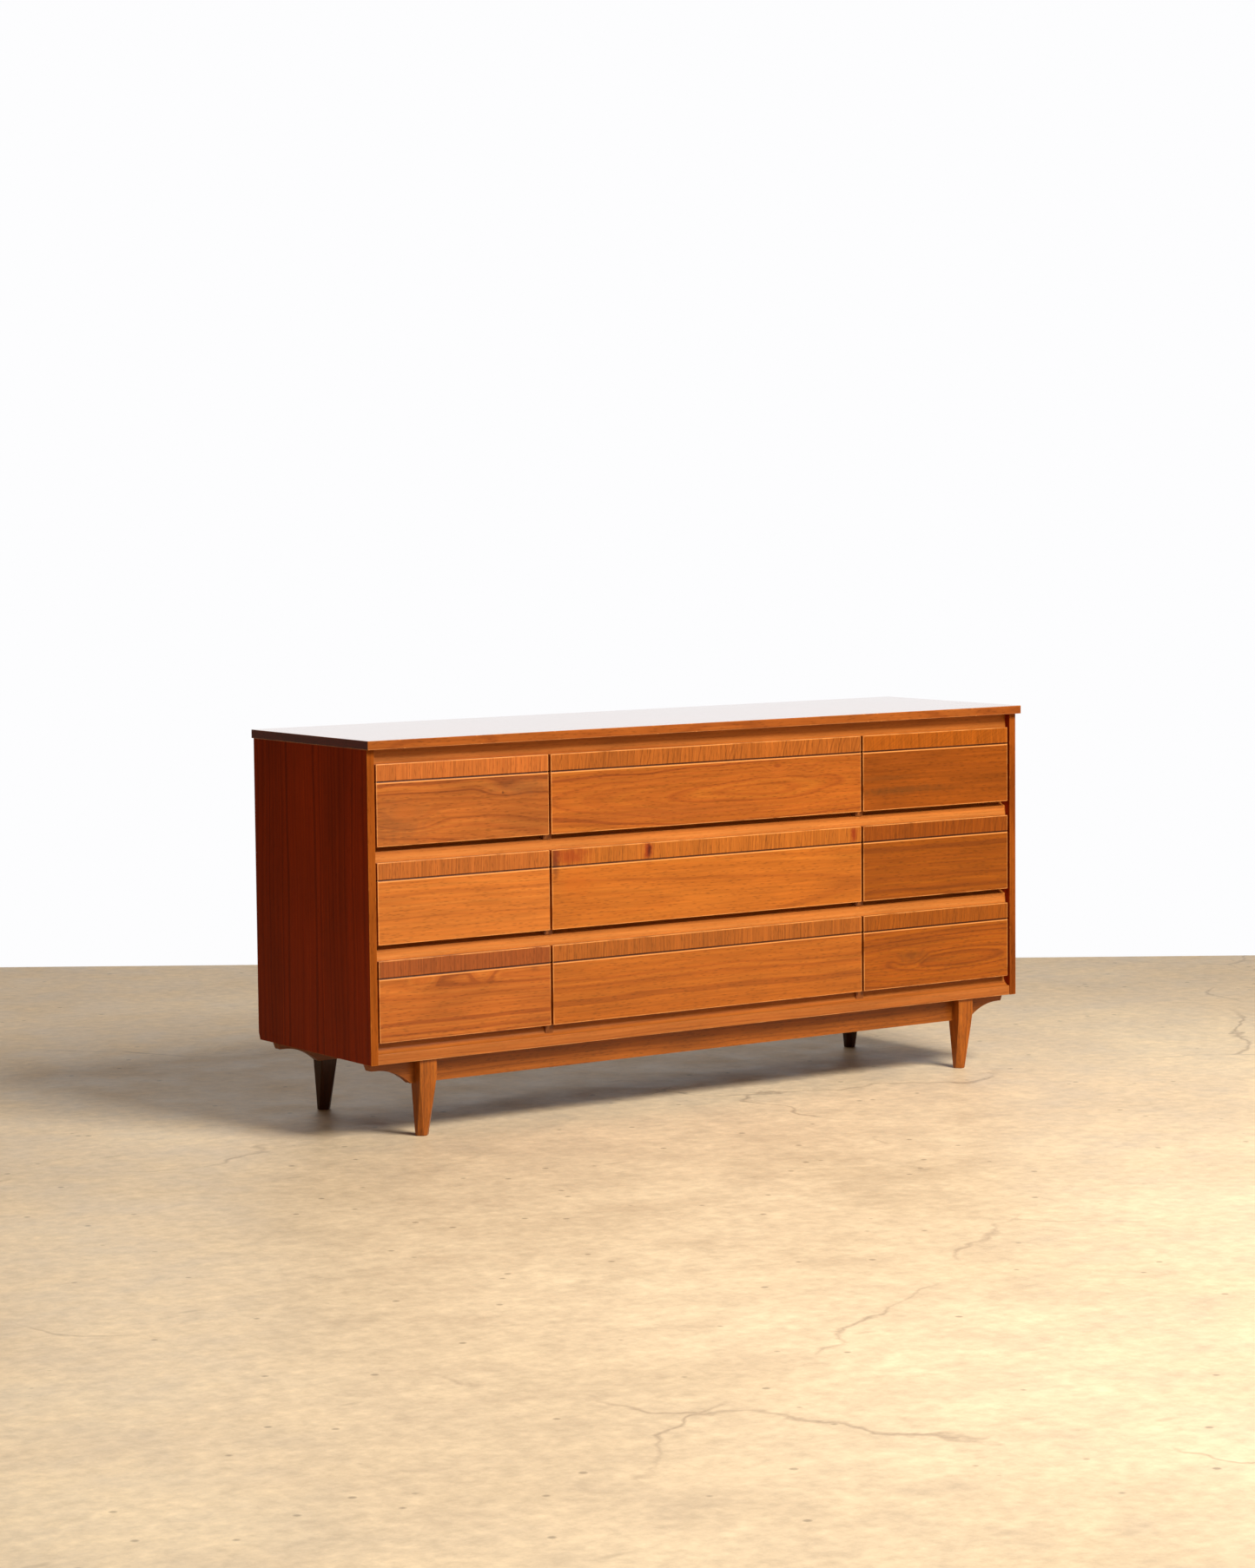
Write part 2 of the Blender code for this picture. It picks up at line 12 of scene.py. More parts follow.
import bpy
import numpy as np
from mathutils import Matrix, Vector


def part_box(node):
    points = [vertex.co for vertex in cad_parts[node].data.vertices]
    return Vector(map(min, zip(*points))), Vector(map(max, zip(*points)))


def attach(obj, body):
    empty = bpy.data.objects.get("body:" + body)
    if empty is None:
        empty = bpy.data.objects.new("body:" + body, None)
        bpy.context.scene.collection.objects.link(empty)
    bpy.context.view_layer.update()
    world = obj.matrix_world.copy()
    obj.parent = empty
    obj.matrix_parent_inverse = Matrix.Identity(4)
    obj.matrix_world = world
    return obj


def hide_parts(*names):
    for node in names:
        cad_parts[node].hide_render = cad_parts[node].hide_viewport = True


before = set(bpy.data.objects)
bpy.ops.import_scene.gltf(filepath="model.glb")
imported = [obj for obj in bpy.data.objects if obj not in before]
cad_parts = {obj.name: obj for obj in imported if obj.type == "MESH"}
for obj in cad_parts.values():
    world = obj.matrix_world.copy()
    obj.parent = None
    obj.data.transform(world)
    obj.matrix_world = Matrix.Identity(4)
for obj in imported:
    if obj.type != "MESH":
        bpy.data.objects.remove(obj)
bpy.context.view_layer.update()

# %% [markdown]
# ## Colours
#
# Wood colours are easiest to pick as the hex values of a paint program, which are in the sRGB
# curve. Blender's shaders count light, so they need linear values. One function turns each pair of
# digits into a fraction and undoes the curve: a fraction over 0.04045 becomes
# ((fraction + 0.055) / 1.055) to the power 2.4.


# %% One way in for every colour
def linear(colour, shade=1.0):
    """A hex colour as linear red, green, blue and alpha, made lighter or darker by shade."""
    fractions = np.array([int(colour[i:i + 2], 16) for i in (1, 3, 5)]) / 255
    light = np.where(fractions > 0.04045, ((fractions + 0.055) / 1.055) ** 2.4, fractions / 12.92)
    return (*[float(v) for v in light * shade], 1.0)


print("walnut in linear light", [round(v, 3) for v in linear("#c66625")])

# %% [markdown]
# ## Adding a node
#
# A material is a small graph. Instead of one helper for each kind of node, a single function adds
# any node: it sets the node's own properties, then fills its inputs. An input given a node or a
# socket is linked, and an input given a number or a colour is simply set.


# %% One function for any node
def put(tree, kind, settings=None, inputs=None):
    """Adds a node of a kind, with its properties and its inputs, and returns it."""
    node = tree.nodes.new("ShaderNode" + kind)
    for key, value in (settings or {}).items():
        if key == "stops":
            ramp = node.color_ramp.elements
            while len(ramp) < len(value):
                ramp.new(0.5)
            for stop, (place, colour) in zip(ramp, value):
                stop.position, stop.color = place, colour
        else:
            setattr(node, key, value)
    pairs = inputs.items() if isinstance(inputs, dict) else enumerate(inputs or [])
    for key, value in pairs:
        if isinstance(value, bpy.types.Node):
            value = next(socket for socket in value.outputs if socket.enabled)
        if isinstance(value, bpy.types.NodeSocket):
            tree.links.new(value, node.inputs[key])
        elif value is not None:
            node.inputs[key].default_value = value
    return node


ADD, SUBTRACT, MULTIPLY = ({"operation": name} for name in ("ADD", "SUBTRACT", "MULTIPLY"))
LOWER, HIGHER, SIZE = ({"operation": name} for name in ("MINIMUM", "MAXIMUM", "ABSOLUTE"))
STEP = {"interpolation_type": "SMOOTHSTEP"}
TINT = {"data_type": "RGBA"}


def new_tree(name):
    """A material with an empty Principled shader, and its node tree."""
    material = bpy.data.materials.new(name)
    material.use_nodes = True
    return material, material.node_tree, material.node_tree.nodes["Principled BSDF"]


print("node helpers ready")

# %% [markdown]
# ## Camera
#
# The dresser is seen from a little above its top, turned so that the left end and the whole front
# show. A long lens from nearly eight metres keeps the uprights upright. The camera could be aimed by
# a constraint, but plain angles are the same in every rerun and need nothing else in the scene.

# %% Camera
lens = bpy.data.cameras.new("camera")
lens.lens = 85.0
lens.sensor_width = 36.0
camera = bpy.data.objects.new("camera", lens)
camera.location = (-4.3858, -6.2899, 1.2636)
camera.rotation_euler = (1.4895, 0.0096, -0.6035)
bpy.context.scene.collection.objects.link(camera)
bpy.context.scene.camera = camera
bpy.context.scene.view_settings.view_transform = "Standard"
print("camera stands", round(math.hypot(*camera.location[:2]), 2), "m from the middle of the dresser")

# %% [markdown]
# ## Floor
#
# The dresser stands on a poured concrete floor that has been sealed: broad pale clouds of colour,
# smaller stains, a few hairline cracks and old scuffs. A picture of a floor could be laid on the
# plane, but noise textures of several sizes do the same with no picture and never repeat. The floor
# is clear from below, so that the underside of the case can be looked at too.


# %% Floor
def flat_sheet(name, corners):
    """A flat four-sided sheet through four corners, in order."""
    mesh = bpy.data.meshes.new(name)
    mesh.from_pydata([tuple(corner) for corner in corners], [], [(0, 1, 2, 3)])
    sheet = bpy.data.objects.new(name, mesh)
    bpy.context.scene.collection.objects.link(sheet)
    return sheet


def one_sided(tree, surface):
    """Shows a surface from its front only: its back is clear."""
    clear = put(tree, "BsdfTransparent")
    side = put(tree, "NewGeometry").outputs["Backfacing"]
    both = put(tree, "MixShader", None, [side, surface, clear])
    tree.links.new(both.outputs[0], tree.nodes["Material Output"].inputs["Surface"])


def concrete():
    """Sealed concrete: clouds about a metre across, stains of 15 cm, grit of 3 cm and finer marks."""
    material, tree, shader = new_tree("sealed_concrete")
    place = put(tree, "TexCoord").outputs["Object"]
    clouds = put(tree, "TexNoise", None, {"Vector": place, "Scale": 1.1, "Detail": 5.0})
    stains = put(tree, "TexNoise", None, {"Vector": place, "Scale": 7.0, "Detail": 10.0, "Roughness": 0.66})
    grit = put(tree, "TexNoise", None, {"Vector": place, "Scale": 34.0, "Detail": 6.0, "Roughness": 0.7})
    pale = put(tree, "ValToRGB", {"stops": [(0.35, linear("#c8b292")), (0.50, linear("#d0ba9a")),
                                            (0.66, linear("#d8c3a2"))]}, [clouds])
    mottle = put(tree, "MapRange", None, [stains, 0.32, 0.68, 0.86, 1.07])
    fine = put(tree, "MapRange", None, [grit, 0.30, 0.70, 0.80, 1.10])
    specks = put(tree, "TexVoronoi", None, {"Vector": place, "Scale": 12.0})
    speck = put(tree, "MapRange", None, [specks, 0.050, 0.090, 0.60, 1.0])
    drawn = put(tree, "VectorMath", {"operation": "MULTIPLY_ADD"},
                [place, (2.2, 7.0, 1.0), clouds.outputs["Color"]])
    scuffs = put(tree, "TexVoronoi", None, {"Vector": drawn, "Scale": 1.0})
    scuff = put(tree, "MapRange", STEP, [scuffs, 0.02, 0.075, 0.80, 1.0])
    marks = put(tree, "Math", MULTIPLY, [speck, scuff])
    shade = put(tree, "Math", MULTIPLY, [put(tree, "Math", MULTIPLY, [mottle, fine]), marks])
    bend = put(tree, "TexNoise", None, {"Vector": place, "Scale": 2.2, "Detail": 6.0})
    bent = put(tree, "VectorMath", {"operation": "MULTIPLY_ADD"},
               [bend.outputs["Color"], (0.55, 0.55, 0.0), place])
    cells = put(tree, "TexVoronoi", {"feature": "DISTANCE_TO_EDGE", "voronoi_dimensions": "2D"},
                {"Vector": bent, "Scale": 0.55})
    crack = put(tree, "MapRange", None, [cells, 0.0, 0.0050, 1.0, 0.0])
    where = put(tree, "MapRange", None, [bend, 0.46, 0.58, 0.0, 0.55])
    dark = put(tree, "Math", MULTIPLY, [crack, where])
    colour = put(tree, "VectorMath", {"operation": "SCALE"}, {0: pale, "Scale": shade})
    cracked = put(tree, "Mix", TINT, {0: dark, 6: colour, 7: linear("#7d6a58")})
    tree.links.new(cracked.outputs[2], shader.inputs["Base Color"])
    gloss = put(tree, "MapRange", None, [stains, 0.35, 0.65, 0.42, 0.60])
    tree.links.new(gloss.outputs[0], shader.inputs["Roughness"])
    shader.inputs["Specular IOR Level"].default_value = 0.14
    relief = put(tree, "Bump", None, {"Strength": 0.15, "Distance": 0.002, "Height": grit})
    tree.links.new(relief.outputs[0], shader.inputs["Normal"])
    one_sided(tree, shader)
    return material


REACH = 7.0
floor = flat_sheet("floor", [(-REACH, -REACH, 0), (REACH, -REACH, 0), (REACH, REACH, 0),
                             (-REACH, REACH, 0)])
floor.data.materials.append(concrete())
print("floor", 2 * REACH, "m square")

# %% [markdown]
# ## Wall
#
# Two metres behind the dresser stands a white wall, lit so brightly that it shows no shade. The top
# panel mirrors it, and that is why a dark walnut top looks almost white from here. The wall is a
# glowing sheet that only the camera and mirror rays see, so it doesn't light the scene, and it is
# clear from behind, so the dresser can still be looked at from the back.


# %% Wall
def white_wall():
    """White paint in full light: a plain glow on its front, nothing on its back."""
    material, tree, shader = new_tree("white_wall_paint")
    glow = put(tree, "Emission", None, {"Color": linear("#fdfdfe"), "Strength": 1.0})
    one_sided(tree, glow)
    return material


WALL_DISTANCE, WALL_LEFT, WALL_RIGHT, WALL_HEIGHT = 9.73, -2.3, 6.0, 8.0
heading = camera.rotation_euler[2]
forward = np.array([-math.sin(heading), math.cos(heading), 0.0])
across = np.array([forward[1], -forward[0], 0.0])
foot = np.array([*camera.location[:2], 0.0]) + WALL_DISTANCE * forward
up = np.array([0.0, 0.0, WALL_HEIGHT])
near_end, far_end = foot + WALL_LEFT * across, foot + WALL_RIGHT * across
wall = flat_sheet("wall", [near_end, far_end, far_end + up, near_end + up])
wall.data.materials.append(white_wall())
wall.visible_diffuse = False
wall.visible_shadow = False
print("wall stands", round(float(np.dot(foot, forward)), 2), "m behind the middle of the dresser")

# %% [markdown]
# ## Light
#
# One large soft lamp hangs high on the right, in front of the dresser. It rakes the drawer fronts,
# leaves the left end in shade and lets the shadow under the case run off to the left. A second lamp
# lifts the floor in front, a third one behind lights the back, and a weak even sky fills the rest,
# so that no side goes black.


# %% Light
def soft_lamp(name, place, aim, size, power, tint="#ffffff"):
    """A square area lamp at one point, aimed at another."""
    lamp = bpy.data.lights.new(name, "AREA")
    lamp.shape = "SQUARE"
    lamp.size = size
    lamp.energy = power
    lamp.color = linear(tint)[:3]
    holder = bpy.data.objects.new(name, lamp)
    ray = np.array(aim, float) - np.array(place, float)
    turn = math.atan2(-ray[0], ray[1])
    tilt = math.atan2(math.hypot(ray[0], ray[1]), -ray[2])
    holder.location = place
    holder.rotation_euler = (tilt, 0.0, turn)
    bpy.context.scene.collection.objects.link(holder)
    return holder


soft_lamp("key_lamp", (0.7, -3.7, 3.7), (-0.3, -0.5, 0.3), 1.8, 400.0, "#fffbf4")
soft_lamp("floor_lamp", (-0.6, -6.6, 3.2), (-2.4, -4.2, 0.0), 1.8, 90.0, "#fff8f0")
soft_lamp("rear_lamp", (1.2, 4.4, 3.8), (0.0, 0.4, 0.2), 2.4, 42.0, "#fff6ea")
world = bpy.data.worlds.new("studio")
bpy.context.scene.world = world
world.use_nodes = True
sky = world.node_tree
seen = put(sky, "LightPath").outputs["Is Camera Ray"]
fill = put(sky, "Mix", TINT, {0: seen, 6: linear("#ffe2c4", 0.145), 7: linear("#fdfdfe")})
sky.links.new(fill.outputs[2], sky.nodes["Background"].inputs["Color"])

# %% [markdown]
# ## Boards as carried profiles
#
# Nearly every board of a case is a profile carried along a straight line: a rail's section along
# its length, a leg's outline up its height. The surface is a grid of two parameters, the place
# around the outline and the station along the way. The ends are closed with flat faces. A box
# scaled to size would be quicker, but it has no cove, no groove and no taper. A solid is kept as an
# array of points and a list of faces until all of a piece's solids are joined into one mesh.
#
# The sharp corners are then eased by a Bevel modifier, as a cabinet maker breaks every arris with a
# few strokes of fine paper. That thin rounded edge is what catches the light.


# %% Profiles carried along a path
def carried(rings):
    """Points and faces of a closed solid through rings of points: rings[station][corner] is a point.

    Corner c of station s is joined to corner c + 1 of the same station and to the same corners of
    station s + 1, and the first and last rings are closed by one face each. The volume is the sum of
    a . (b x c) over the faces' triangles. Where it is below zero the faces look inward, so they are
    turned round.
    """
    rings = np.asarray(rings, float)
    stations, corners = rings.shape[:2]
    grid = np.arange(stations * corners).reshape(stations, corners)
    turned = np.roll(grid, -1, axis=1)
    walls = np.stack([grid[:-1], turned[:-1], turned[1:], grid[1:]], axis=-1).reshape(-1, 4)
    faces = [grid[0][::-1].tolist(), *walls.tolist(), grid[-1].tolist()]
    points = rings.reshape(-1, 3)
    a, b, c, d = points[walls].transpose(1, 0, 2)
    volume = (a * np.cross(b, c)).sum() + (a * np.cross(c, d)).sum()
    for ring in (rings[0][::-1], rings[-1]):
        volume += (ring[0] * np.cross(ring[1:-1], ring[2:])).sum()
    if volume < 0:
        faces = [face[::-1] for face in faces]
    return points, faces


def straight(outline, stations, axis):
    """Rings of one flat outline (u, v) at each station along an axis.

    Along X, u is depth (Y) and v is height (Z). Along Y, u is width (X) and v is height. Along Z, u
    is width and v is depth.
    """
    outline = np.asarray(outline, float)
    flat = np.repeat(outline[None], len(stations), axis=0)
    run = np.repeat(np.asarray(stations, float)[:, None], len(outline), axis=1)
    columns = {"X": (run, flat[..., 0], flat[..., 1]), "Y": (flat[..., 0], run, flat[..., 1]),
               "Z": (flat[..., 0], flat[..., 1], run)}[axis]
    return np.stack(columns, axis=-1)


def arc(centre, radius, start, end, steps=24):
    """Points on a circle, centre + radius * (cos, sin), from one angle to another in degrees."""
    angle = np.radians(np.linspace(start, end, steps + 1))
    return np.stack([centre[0] + radius * np.cos(angle), centre[1] + radius * np.sin(angle)], -1)


def rectangle(low, high):
    """The four corners of an upright rectangle."""
    return [(low[0], low[1]), (high[0], low[1]), (high[0], high[1]), (low[0], high[1])]


def piece(name, solids, body, nodes, material, ease=0.0008, segments=3):
    """Joins solids into one object with eased arrises, which takes over from its CAD nodes."""
    starts = np.cumsum([0] + [len(points) for points, faces in solids])
    faces = [[corner + int(start) for corner in face]
             for (points, faces), start in zip(solids, starts) for face in faces]
    mesh = bpy.data.meshes.new(name)
    mesh.from_pydata(np.vstack([points for points, _ in solids]), [], faces)
    mesh.shade_smooth()
    made = bpy.data.objects.new(name, mesh)
    bpy.context.scene.collection.objects.link(made)
    mesh.materials.append(material)
    if ease:
        eased = made.modifiers.new("eased_arrises", "BEVEL")
        eased.width = ease
        eased.segments = segments
        eased.limit_method = "ANGLE"
        eased.angle_limit = math.radians(30)
        eased.harden_normals = True
    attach(made, body)
    if nodes:
        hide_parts(*nodes)
    return made


print("a plain board has", len(carried(straight(rectangle((0, 0), (1, 1)), [0.0, 1.0], "X"))[1]), "faces")

# %% [markdown]
# ## The figure of walnut
#
# Walnut veneer is sliced from a log whose growth rings are long nested cones. Where the knife runs
# near the middle of the log the rings show as tall arches (cathedral figure), and away from it as
# straight stripes. One formula gives both: a point's ring is its distance from the pith,
# sqrt(across^2 + (depth + lean * along)^2), with a slow noise bending it. A noise of that distance
# alone gives rings of uneven width. Over the rings lie three finer things: fibres half a millimetre
# to four wide, pores, which are short dark dashes, and slow clouds of stain.
#
# The pores of real walnut are 0.2 mm wide, too fine to show from here, so they are drawn as dashes
# about 2 mm wide and 10 mm long. A knot is a place where the rings bulge round a point.
#
# The tones are given as the eye sees them under the studio lamp. The lamp is brighter than white
# paper needs, so the veneer's own colour is deeper, by the three factors of its stain.


# %% Growth rings, fibres and pores
STAIN = (0.60, 0.53, 0.36)      # how much deeper a stained veneer is than its lit tone
KNOT_ROUND = 0.42               # a knot's rings are this much shorter across the grain than along it


def figure(tree, place, grain):
    """Sockets for a veneer's colour and height. grain["axes"] orders X, Y, Z as along, across, deep."""
    axis = put(tree, "SeparateXYZ", None, [place]).outputs
    along, wide = (axis["XYZ".index(letter)] for letter in grain["axes"][:2])
    seed = grain.get("seed", 0.0)

    def stretched(along_scale, wide_scale):
        """The place, moved by the seed and scaled along and across the grain, in parts per metre."""
        scale = [wide_scale] * 3
        scale["XYZ".index(grain["axes"][0])] = along_scale
        moved = put(tree, "VectorMath", ADD, [place, (seed * 0.37, seed * 0.53, seed * 0.71)])
        return put(tree, "VectorMath", MULTIPLY, [moved, tuple(scale)])

    middle = grain.get("middle", (0.0, 0.0))
    slow = put(tree, "TexNoise", None, {"Vector": stretched(2.2, 9.0), "Scale": 1.0, "Detail": 3.0})
    sway = put(tree, "Math", {"operation": "MULTIPLY_ADD"}, [slow, grain.get("sway", 0.02), -middle[1]])
    v = put(tree, "Math", ADD, [wide, sway])
    lean = grain.get("lean", 0.03)
    pith = grain.get("depth", 0.02) - lean * middle[0]
    d = put(tree, "Math", {"operation": "MULTIPLY_ADD"}, [along, lean, pith])
    v2, d2 = put(tree, "Math", MULTIPLY, [v, v]), put(tree, "Math", MULTIPLY, [d, d])
    radius = put(tree, "Math", {"operation": "SQRT"}, [put(tree, "Math", ADD, [v2, d2])])
    for knot_along, knot_wide, spread, bulge in grain.get("knots", ()):
        a = put(tree, "Math", {"operation": "MULTIPLY_ADD"}, [along, KNOT_ROUND, -KNOT_ROUND * knot_along])
        b = put(tree, "Math", SUBTRACT, [wide, knot_wide])
        near = put(tree, "VectorMath", {"operation": "LENGTH"}, [put(tree, "CombineXYZ", None, [a, b])])
        swell = put(tree, "MapRange", STEP, [near.outputs["Value"], 0.0, spread, bulge, 0.0])
        radius = put(tree, "Math", ADD, [radius, swell])
    turns = put(tree, "Math", {"operation": "MULTIPLY_ADD"},
                [radius, 1.0 / grain.get("ring", 0.008), seed * 3.1])
    rings = put(tree, "TexNoise", {"noise_dimensions": "1D"},
                {"W": turns, "Scale": 1.0, "Detail": 2.5, "Roughness": 0.55})
    dark, mid, light = (np.array(linear(grain[tone])) * (*grain.get("stain", STAIN), 1.0)
                        for tone in ("dark", "mid", "light"))
    strength = grain.get("contrast", 0.6)
    dark, light = mid + (dark - mid) * strength, mid + (light - mid) * strength
    colour = put(tree, "ValToRGB", {"stops": [(0.30, tuple(dark)), (0.44, tuple(mid)),
                                              (0.72, tuple(light))]}, [rings])
    fibres = put(tree, "TexNoise", None, {"Vector": stretched(8.0, 230.0), "Scale": 1.0, "Detail": 4.0,
                                          "Roughness": 0.62})
    clouds = put(tree, "TexNoise", None, {"Vector": stretched(5.0, 14.0), "Scale": 1.0, "Detail": 3.0})
    strength = grain.get("fibre", 0.24)
    fine = put(tree, "MapRange", None, [fibres, 0.28, 0.72, 1.0 - strength, 1.0 + 0.6 * strength])
    blotch = grain.get("blotch", 0.18)
    broad = put(tree, "MapRange", None, [clouds, 0.30, 0.70, 1.0 - blotch, 1.0 + 0.7 * blotch])
    cells = put(tree, "TexVoronoi", None, {"Vector": stretched(48.0, 270.0), "Scale": 1.0})
    dashes = put(tree, "MapRange", None, [cells, 0.14, 0.36, grain.get("pores", 0.28), 0.0])
    keep = put(tree, "Math", SUBTRACT, [1.0, dashes])
    shade = put(tree, "Math", MULTIPLY, [put(tree, "Math", MULTIPLY, [fine, broad]), keep])
    if "leaf" in grain:
        leaf = put(tree, "Math", {"operation": "SNAP"}, [v, grain["leaf"]])
        tone = put(tree, "TexWhiteNoise", {"noise_dimensions": "1D"}, {"W": leaf})
        leaf_shade = put(tree, "MapRange", None, [tone, 0.0, 1.0, 0.84, 1.10])
        shade = put(tree, "Math", MULTIPLY, [shade, leaf_shade])
    veneer = put(tree, "VectorMath", {"operation": "SCALE"}, {0: colour, "Scale": shade})
    relief = put(tree, "Math", SUBTRACT, [fibres, dashes])
    return veneer, relief


def two_figures(tree, place, grain, other=None, split=None):
    """One veneer, or two that meet at a plane: split is its axis, a comparison and its values."""
    colour, relief = figure(tree, place, grain)
    if other:
        letter, side, *values = split
        second, second_relief = figure(tree, place, other)
        measure = put(tree, "SeparateXYZ", None, [place]).outputs[letter]
        there = put(tree, "Math", {"operation": side}, [measure, *values])
        colour = put(tree, "Mix", TINT, {0: there, 6: colour, 7: second})
        relief = put(tree, "Mix", None, {0: there, 2: relief, 3: second_relief})
    return colour, relief


print("figure: rings 3 to 14 mm wide, fibres up to 4 mm, dashes 2 by 10 mm")

# %% [markdown]
# ## Worn arrises and painted highlights
#
# Sixty years of dusting and knocks rub the stain off the corners first, and each eased corner
# catches the lamp, so every edge has a thin, broken, paler line: partly real wear and partly a
# painted highlight. To find the edges, each point's distance to the three pairs of faces of its
# board's box is worked out. On a face the smallest is nearly zero, and the second smallest is the
# distance to the nearest arris. The middle one of three numbers is
# max(min(a, b), min(max(a, b), c)). Small knocks are strewn along the arrises of the top and sides.
# Along an arris only one coordinate changes, so a one-dimensional Voronoi of x + 1.3 y + 0.7 z
# gives each arris its own row of them.


# %% Distance to the nearest arris
def arris_wear_and_highlight(tree, place, low, high, width=0.0016, amount=0.6, patch=(0.40, 0.62), chips=0.0):
    """1 on an arris of the box from low to high, for wear and a painted highlight, 0 away from it, broken up
    by a noise.

    chips is how many small knocks there are per metre of arris, strewn by a one-dimensional Voronoi.
    """
    centre = tuple((a + b) / 2 for a, b in zip(low, high))
    half = tuple((b - a) / 2 for a, b in zip(low, high))
    off = put(tree, "VectorMath", SIZE, [put(tree, "VectorMath", SUBTRACT, [place, centre])])
    inner = put(tree, "SeparateXYZ", None, [put(tree, "VectorMath", SUBTRACT, [half, off])]).outputs
    least = put(tree, "Math", LOWER, [inner[0], inner[1]])
    most = put(tree, "Math", HIGHER, [inner[0], inner[1]])
    second = put(tree, "Math", HIGHER, [least, put(tree, "Math", LOWER, [most, inner[2]])])
    edge = put(tree, "MapRange", STEP, [second, 0.3 * width, width, amount, 0.0])
    edge_breakup = put(tree, "TexNoise", None, {"Vector": place, "Scale": 26.0, "Detail": 3.0})
    broken = put(tree, "MapRange", None, [edge_breakup, patch[0], patch[1], 0.15, 0.5 if chips else 1.0])
    if chips:
        run = put(tree, "VectorMath", {"operation": "DOT_PRODUCT"}, [place, (1.0, 1.3, 0.7)])
        knock = put(tree, "TexVoronoi", {"voronoi_dimensions": "1D"},
                    {"W": run.outputs["Value"], "Scale": chips})
        speck = put(tree, "MapRange", STEP, [knock, 0.0012 * chips, 0.0030 * chips, 1.0, 0.0])
        broken = put(tree, "Math", HIGHER, [broken, speck])
    return put(tree, "Math", MULTIPLY, [edge, broken])


print("arris wear 1.6 to 2.4 mm wide")

# %% [markdown]
# ## Lacquered veneer
#
# Nitrocellulose lacquer was sprayed over the stain. It is a clear coat: the wood under it keeps its
# own soft sheen, and the coat adds a thin sharper reflection. The wood's roughness changes a little
# with its fibres, and the pores sink under the coat, which the bump shows. A drawer front has two
# veneers, long grain on its face and upright grain on the band above its groove, so the material can
# change figure at a height. The groove gets a painted shade, a dark line, and a painted highlight, a
# pale line just under its lower edge. Patches are flushes of heartwood, knots and grey mineral
# streaks: each is an oval with a ragged rim, given by its middle, half width, half height and tone.
# A front also brings its joint, the ends and the back of the plate where dovetails show.


# %% Lacquered veneer
def veneer(name, grain, band=None, split=None, box=None, gloss=0.38, coat=0.15, coat_roughness=0.18,
           wear_and_highlight_tone="#d08a48", wear_and_highlight=0.5, width=0.0016, shine=0.25, groove=None, patches=(),
           patch=(0.40, 0.62), joint=None, ripple=0.18, chips=0.0):
    """Stained walnut veneer under lacquer, with worn arrises carrying a painted highlight where a box is
    given.
    """
    material, tree, shader = new_tree(name)
    place = put(tree, "TexCoord").outputs["Object"]
    colour, relief = two_figures(tree, place, grain, band, split)
    for x, z, half_width, half_height, tone, amount in patches:
        moved = put(tree, "VectorMath", SUBTRACT, [place, (x, 0.0, z)])
        off = put(tree, "VectorMath", MULTIPLY, [moved, (1 / half_width, 0.0, 1 / half_height)])
        away = put(tree, "VectorMath", {"operation": "LENGTH"}, [off]).outputs["Value"]
        rim = put(tree, "TexNoise", None, {"Vector": place, "Scale": 70.0, "Detail": 4.0,
                                           "Roughness": 0.6})
        ragged = put(tree, "Math", {"operation": "MULTIPLY_ADD"}, [rim, 1.6, away])
        near = put(tree, "MapRange", STEP, [ragged, 0.9, 2.1, amount, 0.0])
        colour = put(tree, "Mix", TINT, {0: near, 6: colour, 7: linear(tone)})
    # Painted shade and painted highlight: a dark line in the groove and a pale line just under it.
    if groove:
        height = put(tree, "SeparateXYZ", None, [place]).outputs["Z"]
        for offset, inner, outer, tone, amount in ((0.0, 0.0012, 0.0020, "#2a0c03", 0.85),
                                                   (0.0030, 0.0006, 0.0016, wear_and_highlight_tone, 0.75)):
            away = put(tree, "Math", SIZE, [put(tree, "Math", SUBTRACT, [height, groove - offset])])
            line = put(tree, "MapRange", STEP, [away, inner, outer, amount, 0.0])
            colour = put(tree, "Mix", TINT, {0: line, 6: colour, 7: linear(tone)})
    # The pale arris line is partly wear and partly a painted highlight.
    if box:
        wear_and_highlight_mask = arris_wear_and_highlight(tree, place, *box, width=width, amount=wear_and_highlight, patch=patch, chips=chips)
        colour = put(tree, "Mix", TINT, {0: wear_and_highlight_mask, 6: colour, 7: linear(wear_and_highlight_tone)})
    if joint:
        colour = dovetails(tree, place, colour, *joint)
    sheen = put(tree, "MapRange", None, [relief, 0.2, 0.8, gloss - 0.05, gloss + 0.07])
    pores = put(tree, "Bump", None, {"Strength": ripple, "Distance": 0.0006, "Height": relief})
    tree.links.new(next(s for s in colour.outputs if s.enabled), shader.inputs["Base Color"])
    tree.links.new(sheen.outputs[0], shader.inputs["Roughness"])
    tree.links.new(pores.outputs[0], shader.inputs["Normal"])
    shader.inputs["Specular IOR Level"].default_value = shine
    shader.inputs["Coat Weight"].default_value = coat
    shader.inputs["Coat Roughness"].default_value = coat_roughness
    shader.inputs["Coat IOR"].default_value = 1.5
    return material


def box_of(*nodes):
    """The lowest and highest corner of some CAD nodes together."""
    corners = np.array([[tuple(corner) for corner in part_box(node)] for node in nodes])
    return tuple(corners[:, 0].min(0)), tuple(corners[:, 1].max(0))


print("dresser front is", round(box_of("top_panel")[1][0] - box_of("top_panel")[0][0], 3), "m wide")
